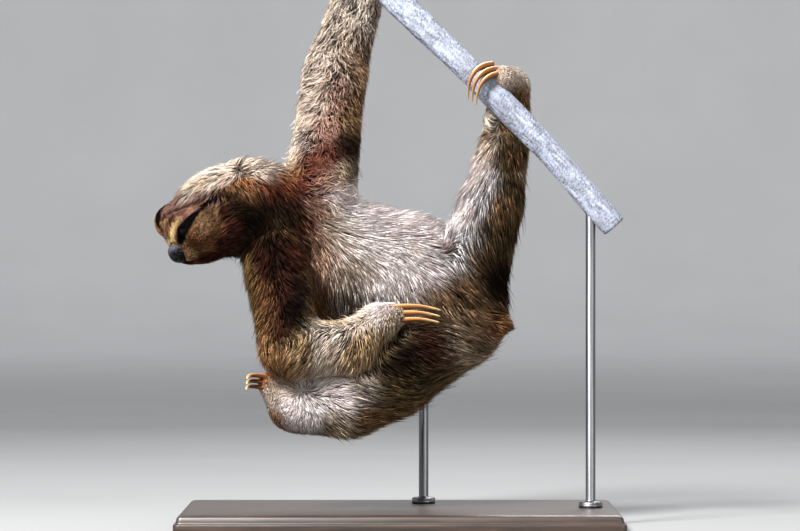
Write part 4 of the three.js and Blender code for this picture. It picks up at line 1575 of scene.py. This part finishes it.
def horn_colours(edge, along):
    """A pale crest of painted highlight along the upper edge, a dark inner side of painted shade, and
    a paler tip.
    """
    # painted highlight along the upper edge, then painted shade on the inner side below it
    colours = mixed(HORN_AMBER, HORN_CREAM, (smooth_step(*HIGHLIGHT_CREST, edge) * 0.85)[:, None])
    colours = mixed(colours, HORN_DARK, (smooth_step(*SHADED_INNER_SIDE, edge) * 0.85)[:, None])
    return mixed(colours, HORN_CREAM, (smooth_step(*PALE_TIP, along) * 0.5)[:, None])


def add_claw(name, root, bend, tip, material):
    """A claw along the curve from its root to its tip, drawn towards the bend."""
    def curve(t):
        t = t[:, None]
        return root * (1 - t) ** 2 + bend * 2 * t * (1 - t) + tip * t ** 2

    def radius_at(share, angle):
        depth = mixed(CLAW["root"], CLAW["tip"], share ** CLAW["lateness"])
        depth = depth * np.sqrt(1 - smooth_step(*CLAW["point"], share) * CLAW["blunting"])
        keel = 1 + CLAW["keel"] * np.cos(angle * 2)
        return depth * keel / np.hypot(np.cos(angle), np.sin(angle) / CLAW["flatness"])

    side = unit(np.cross(bend - root, tip - root))
    middles = arc_even(curve, CLAW_STEPS, CLAW_ROOT)
    claw, points = sweep(name + "_horn", middles, side, radius_at, CLAW_SIDES)
    crest = unit(unit(2 * bend - root - tip) + at(0, 0, CLAW["highlight_lift"]))
    nearest = np.argmin(norms(points[:, None] - middles[None]), 1)
    edge = outward_of(points, middles, nearest) @ crest
    colour_points(claw, "horn", horn_colours(edge, nearest / CLAW_STEPS))
    finished(claw, "claw", material, name)


def add_claws():
    material = claw_material()
    for limb, (root, bend, tip, root_step, tip_step) in CLAW_SETS.items():
        bend_step = (root_step + tip_step) / 2
        for number in range(3):
            add_claw(f"{limb}_claw_{number + 1}", root + root_step * number,
                     bend + bend_step * number, tip + tip_step * number, material)


BRANCH_COURSE = [
    at(-0.118, -0.004, 0.648), at(-0.005, -0.006, 0.526), at(0.093, -0.007, 0.430),
    at(0.150, -0.009, 0.372), at(0.214, -0.012, 0.298),
]
PERCH = {
    "upper": 0.0140, "lower": 0.0122,                # its radii
    "ridges": 3, "ridge": 0.0007, "twist": 9,        # three low ridges that wind along it
    "swelling": 0.0005, "swellings": 21,
    "end": 0.0035, "end_share": 0.72,                # each sawn end's bevel
    "relief": 0.0009,                                # how deep cracks and lumps go
}
PERCH_STEPS, PERCH_SIDES = 400, 96
BARK_GREY = linear((134, 138, 150))
BARK_PALE = linear((156, 162, 178))
BARK_CRACK_SHADE = linear((74, 72, 76))
SAWN_RIM = linear((150, 126, 96))
SAWN_HEART = linear((158, 132, 98))


def through(places):
    """A smooth curve through places, as a function of t from 0 to 1."""
    ends = [2 * places[0] - places[1], *places, 2 * places[-1] - places[-2]]
    knots = np.array(ends)

    def curve(t):
        spot = np.clip(t * (len(places) - 1), 0, len(places) - 1 - 1e-9)
        first = spot.astype(int)
        u = (spot - first)[:, None]
        a, b, c, d = (knots[first + k] for k in range(4))
        return 0.5 * (2 * b + (c - a) * u + (2 * a - 5 * b + 4 * c - d) * u ** 2
                      + (3 * b - a - 3 * c + d) * u ** 3)

    return curve


def perch_radius(share, angle):
    radius = mixed(PERCH["upper"], PERCH["lower"], share)
    radius = radius + PERCH["ridge"] * np.sin(PERCH["ridges"] * angle + PERCH["twist"] * share)
    radius = radius + PERCH["swelling"] * np.sin(PERCH["swellings"] * share)
    from_end = smooth_step(0, PERCH["end"], np.minimum(share, 1 - share))
    return radius * np.sqrt(mixed(PERCH["end_share"], 1, from_end))


def bark_relief(spots):
    """How much crack, how much lump and how much lichen there is at each spot."""
    wide = 1 - np.abs(noise(spots, 0.009, 2.0)) * 3.2
    fine = 1 - np.abs(noise(spots, 0.0042, 8.0)) * 3.0
    crack = smooth_step(0.35, 1, wide) * 0.8 + smooth_step(0.4, 1, fine) * 0.35
    lump = noise(spots, 0.012, 4.0) * 0.4 + noise(spots, 0.005, 6.0) * 0.2
    patchy = noise(spots, 0.016, 12.0) + 0.5 * noise(spots, 0.006, 14.0)
    return crack, lump, smooth_step(-0.25, 0.45, patchy)


def add_perch():
    """The cut length of branch: cracked grey bark with paler lichen, and two sawn ends."""
    middles = arc_even(through(BRANCH_COURSE), PERCH_STEPS)
    perch, points = sweep("perch_bark", middles, at(0, 1, 0), perch_radius, PERCH_SIDES)
    nearest = np.argmin(norms(points[:, None, ::2] - middles[None, ::4, ::2]), 1) * 4
    outward = outward_of(points, middles, nearest)
    crack, lump, lichen = bark_relief(points + outward * 0.02)
    relief = lump * PERCH["relief"] - crack * PERCH["relief"]
    place_points(perch, points + outward * relief[:, None])
    colours = mixed(BARK_GREY, BARK_PALE, lichen[:, None])
    # The cracks are painted dark as well as sunk: painted shade in them.
    colours = mixed(colours, BARK_CRACK_SHADE, np.clip(crack * 0.8, 0, 1)[:, None])
    colours[[-2, -1]] = SAWN_HEART
    colours[:PERCH_SIDES] = SAWN_RIM
    colours[-2 - PERCH_SIDES:-2] = SAWN_RIM
    colour_points(perch, "bark", colours)
    finished(perch, "bark", bark_material(), "perch")


# ---------------------------------------------------------------- the stand

BASE_CORNER = {"radius": 0.006, "tightening": 0.4, "least": 0.002, "steps": 9}
BASE_BEVEL = 0.003

# How far in from the edge, in bevels, and how high, as a share of the height.
BASE_PROFILE = [
    (0.8, 0), (0.2, 0.03), (0, 0.10), (0, 0.42), (0.1, 0.47), (0.75, 0.50), (0.9, 0.56),
    (1, 0.62), (1.15, 0.80), (1.6, 0.90), (2.4, 0.965), (3.2, 0.99), (4.2, 1),
]


def rounded_rectangle(middle, half, corner):
    """The outline of a rectangle whose corners have this radius."""
    quarter = np.linspace(0, math.pi / 2, BASE_CORNER["steps"])
    outline = []
    for turn, signs in enumerate([(1, 1), (-1, 1), (-1, -1), (1, -1)]):
        centre = middle + (half - corner) * signs
        angles = quarter + turn * math.pi / 2
        outline.append(centre + corner * np.stack([np.cos(angles), np.sin(angles)], 1))
    return np.concatenate(outline)


def add_base():
    """A plinth with a cove and a rounded edge, from rounded rectangles laid on each other."""
    low, high = (np.array(corner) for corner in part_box("stand_base"))
    half = (high - low)[:2] / 2
    middle = (high + low)[:2] / 2
    rings = []
    for bevels, rise in BASE_PROFILE:
        inset = bevels * BASE_BEVEL
        corner = BASE_CORNER["radius"] - inset * BASE_CORNER["tightening"]
        ring = rounded_rectangle(middle, half - inset, max(corner, BASE_CORNER["least"]))
        height = np.full((len(ring), 1), mixed(low[2], high[2], rise))
        rings.append(np.concatenate([ring, height], 1))
    base, _ = closed_rings("stand_plinth", np.array(rings))
    finished(base, "base_wood", wood_material(), "stand_base")


COLLAR = {"radius": 0.012, "height": 0.006, "round": 0.0012}
ROD_SIDES = 64


def rod_profile(radius, length):
    """Radii and heights of a rod with a turned collar at its foot and a bevel at its top."""
    wide, rim, top = COLLAR["radius"], COLLAR["round"], COLLAR["height"]
    profile = [(wide, 0), (wide, top - 2 * rim)]
    for turn in np.linspace(0, math.pi / 2, 6):
        profile.append((wide - 2 * rim * (1 - math.cos(turn)), top - 2 * rim * (1 - math.sin(turn))))
    profile += [(radius + rim, top), (radius + rim * 0.3, top + rim * 0.4), (radius, top + rim)]
    profile += [(radius, length - rim), (radius - rim * 0.3, length - rim * 0.3)]
    profile.append((radius - rim, length))
    return profile


def add_rods():
    material = steel_material()
    for rod_name in ("stand_rod_body", "stand_rod_perch"):
        low, high = (np.array(corner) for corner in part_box(rod_name))
        profile = rod_profile((high - low)[0] / 2, high[2] - low[2])
        rings = lathed(profile, ROD_SIDES, (low + high)[:2] / 2, low[2])
        rod, _ = closed_rings(rod_name + "_turned", rings)
        finished(rod, "rod_steel", material, rod_name)


# ---------------------------------------------------------------- floor, light and camera

FLOOR = {"radius": 7.5, "curve": 1.5, "wall": 3.0, "sides": 96}    # the wall goes up to 3 m
FLOOR_GREY = {"From Min": 2.5, "From Max": FLOOR["radius"], "To Min": 0.22, "To Max": 0.7}


def floor_material():
    """Grey that gets lighter with the distance from the middle."""
    material, tree, shader = new_material("floor", Roughness=0.8)
    outward = node(tree, "VectorMath", {0: own_place(tree)}, operation="LENGTH").outputs["Value"]
    grey = node(tree, "MapRange", {"Value": outward, **FLOOR_GREY}).outputs["Result"]
    add_colour(tree, shader, grey, noise_of(tree, 3.0), low=0.97, high=1.03)
    return material


def add_stage():
    """A round floor that curves up into a low wall, farther out than any camera stands."""
    radius, curve = FLOOR["radius"], FLOOR["curve"]
    profile = [(0.01, 0), (1, 0), (radius, 0)]
    for turn in np.linspace(0, math.pi / 2, 16)[1:]:
        profile.append((radius + curve * math.sin(turn), curve * (1 - math.cos(turn))))
    profile.append((radius + curve, FLOOR["wall"]))
    points = lathed(profile, FLOOR["sides"]).reshape(-1, 3)
    corners = grid_corners(len(profile), FLOOR["sides"])
    floor = mesh_from("floor", points, corners.ravel(), 4)
    floor.data.materials.append(floor_material())


SKY_COLOUR, SKY_STRENGTH = (0.93, 0.96, 1.0, 1), 0.55
AIM = at(-0.03, 0, 0.28)
LIGHTS = {   # place, size in metres and watts
    "key_light": (at(-1.2, -1.7, 2.1), 0.8, 285),
    "fill_light": (at(1.9, -2.2, 0.9), 1.8, 26),
    "rim_light": (at(0.6, 1.5, 1.9), 1.0, 40),
}


def add_lights():
    for name, (place, size, power) in LIGHTS.items():
        lamp = bpy.data.lights.new(name, "AREA")
        lamp.shape = "DISK"
        lamp.size = size
        lamp.energy = power
        light = bpy.data.objects.new(name, lamp)
        light.location = place
        light.rotation_euler = Vector(AIM - place).to_track_quat("-Z", "Y").to_euler()
        bpy.context.scene.collection.objects.link(light)
    world = bpy.data.worlds.new("world")
    world.use_nodes = True
    background = world.node_tree.nodes["Background"]
    background.inputs["Color"].default_value = SKY_COLOUR
    background.inputs["Strength"].default_value = SKY_STRENGTH
    bpy.context.scene.world = world


CAMERA_PLACE = at(0, -4.0, 0.2595)
LENS = 180


def add_camera():
    """Level, square on to the branch, and far enough away for little perspective."""
    camera = bpy.data.objects.new("camera", bpy.data.cameras.new("camera"))
    camera.location = CAMERA_PLACE
    camera.rotation_euler = (math.pi / 2, 0, 0)
    camera.data.lens = LENS
    camera.data.clip_end = 50
    bpy.context.scene.collection.objects.link(camera)
    bpy.context.scene.camera = camera
    bpy.context.scene.view_settings.view_transform = "Standard"


# ---------------------------------------------------------------- putting it together


add_camera()
add_lights()
add_stage()
add_coat(*add_skin(), coat_material())
add_eyes()
add_nose()
add_claws()
add_perch()
add_base()
add_rods()
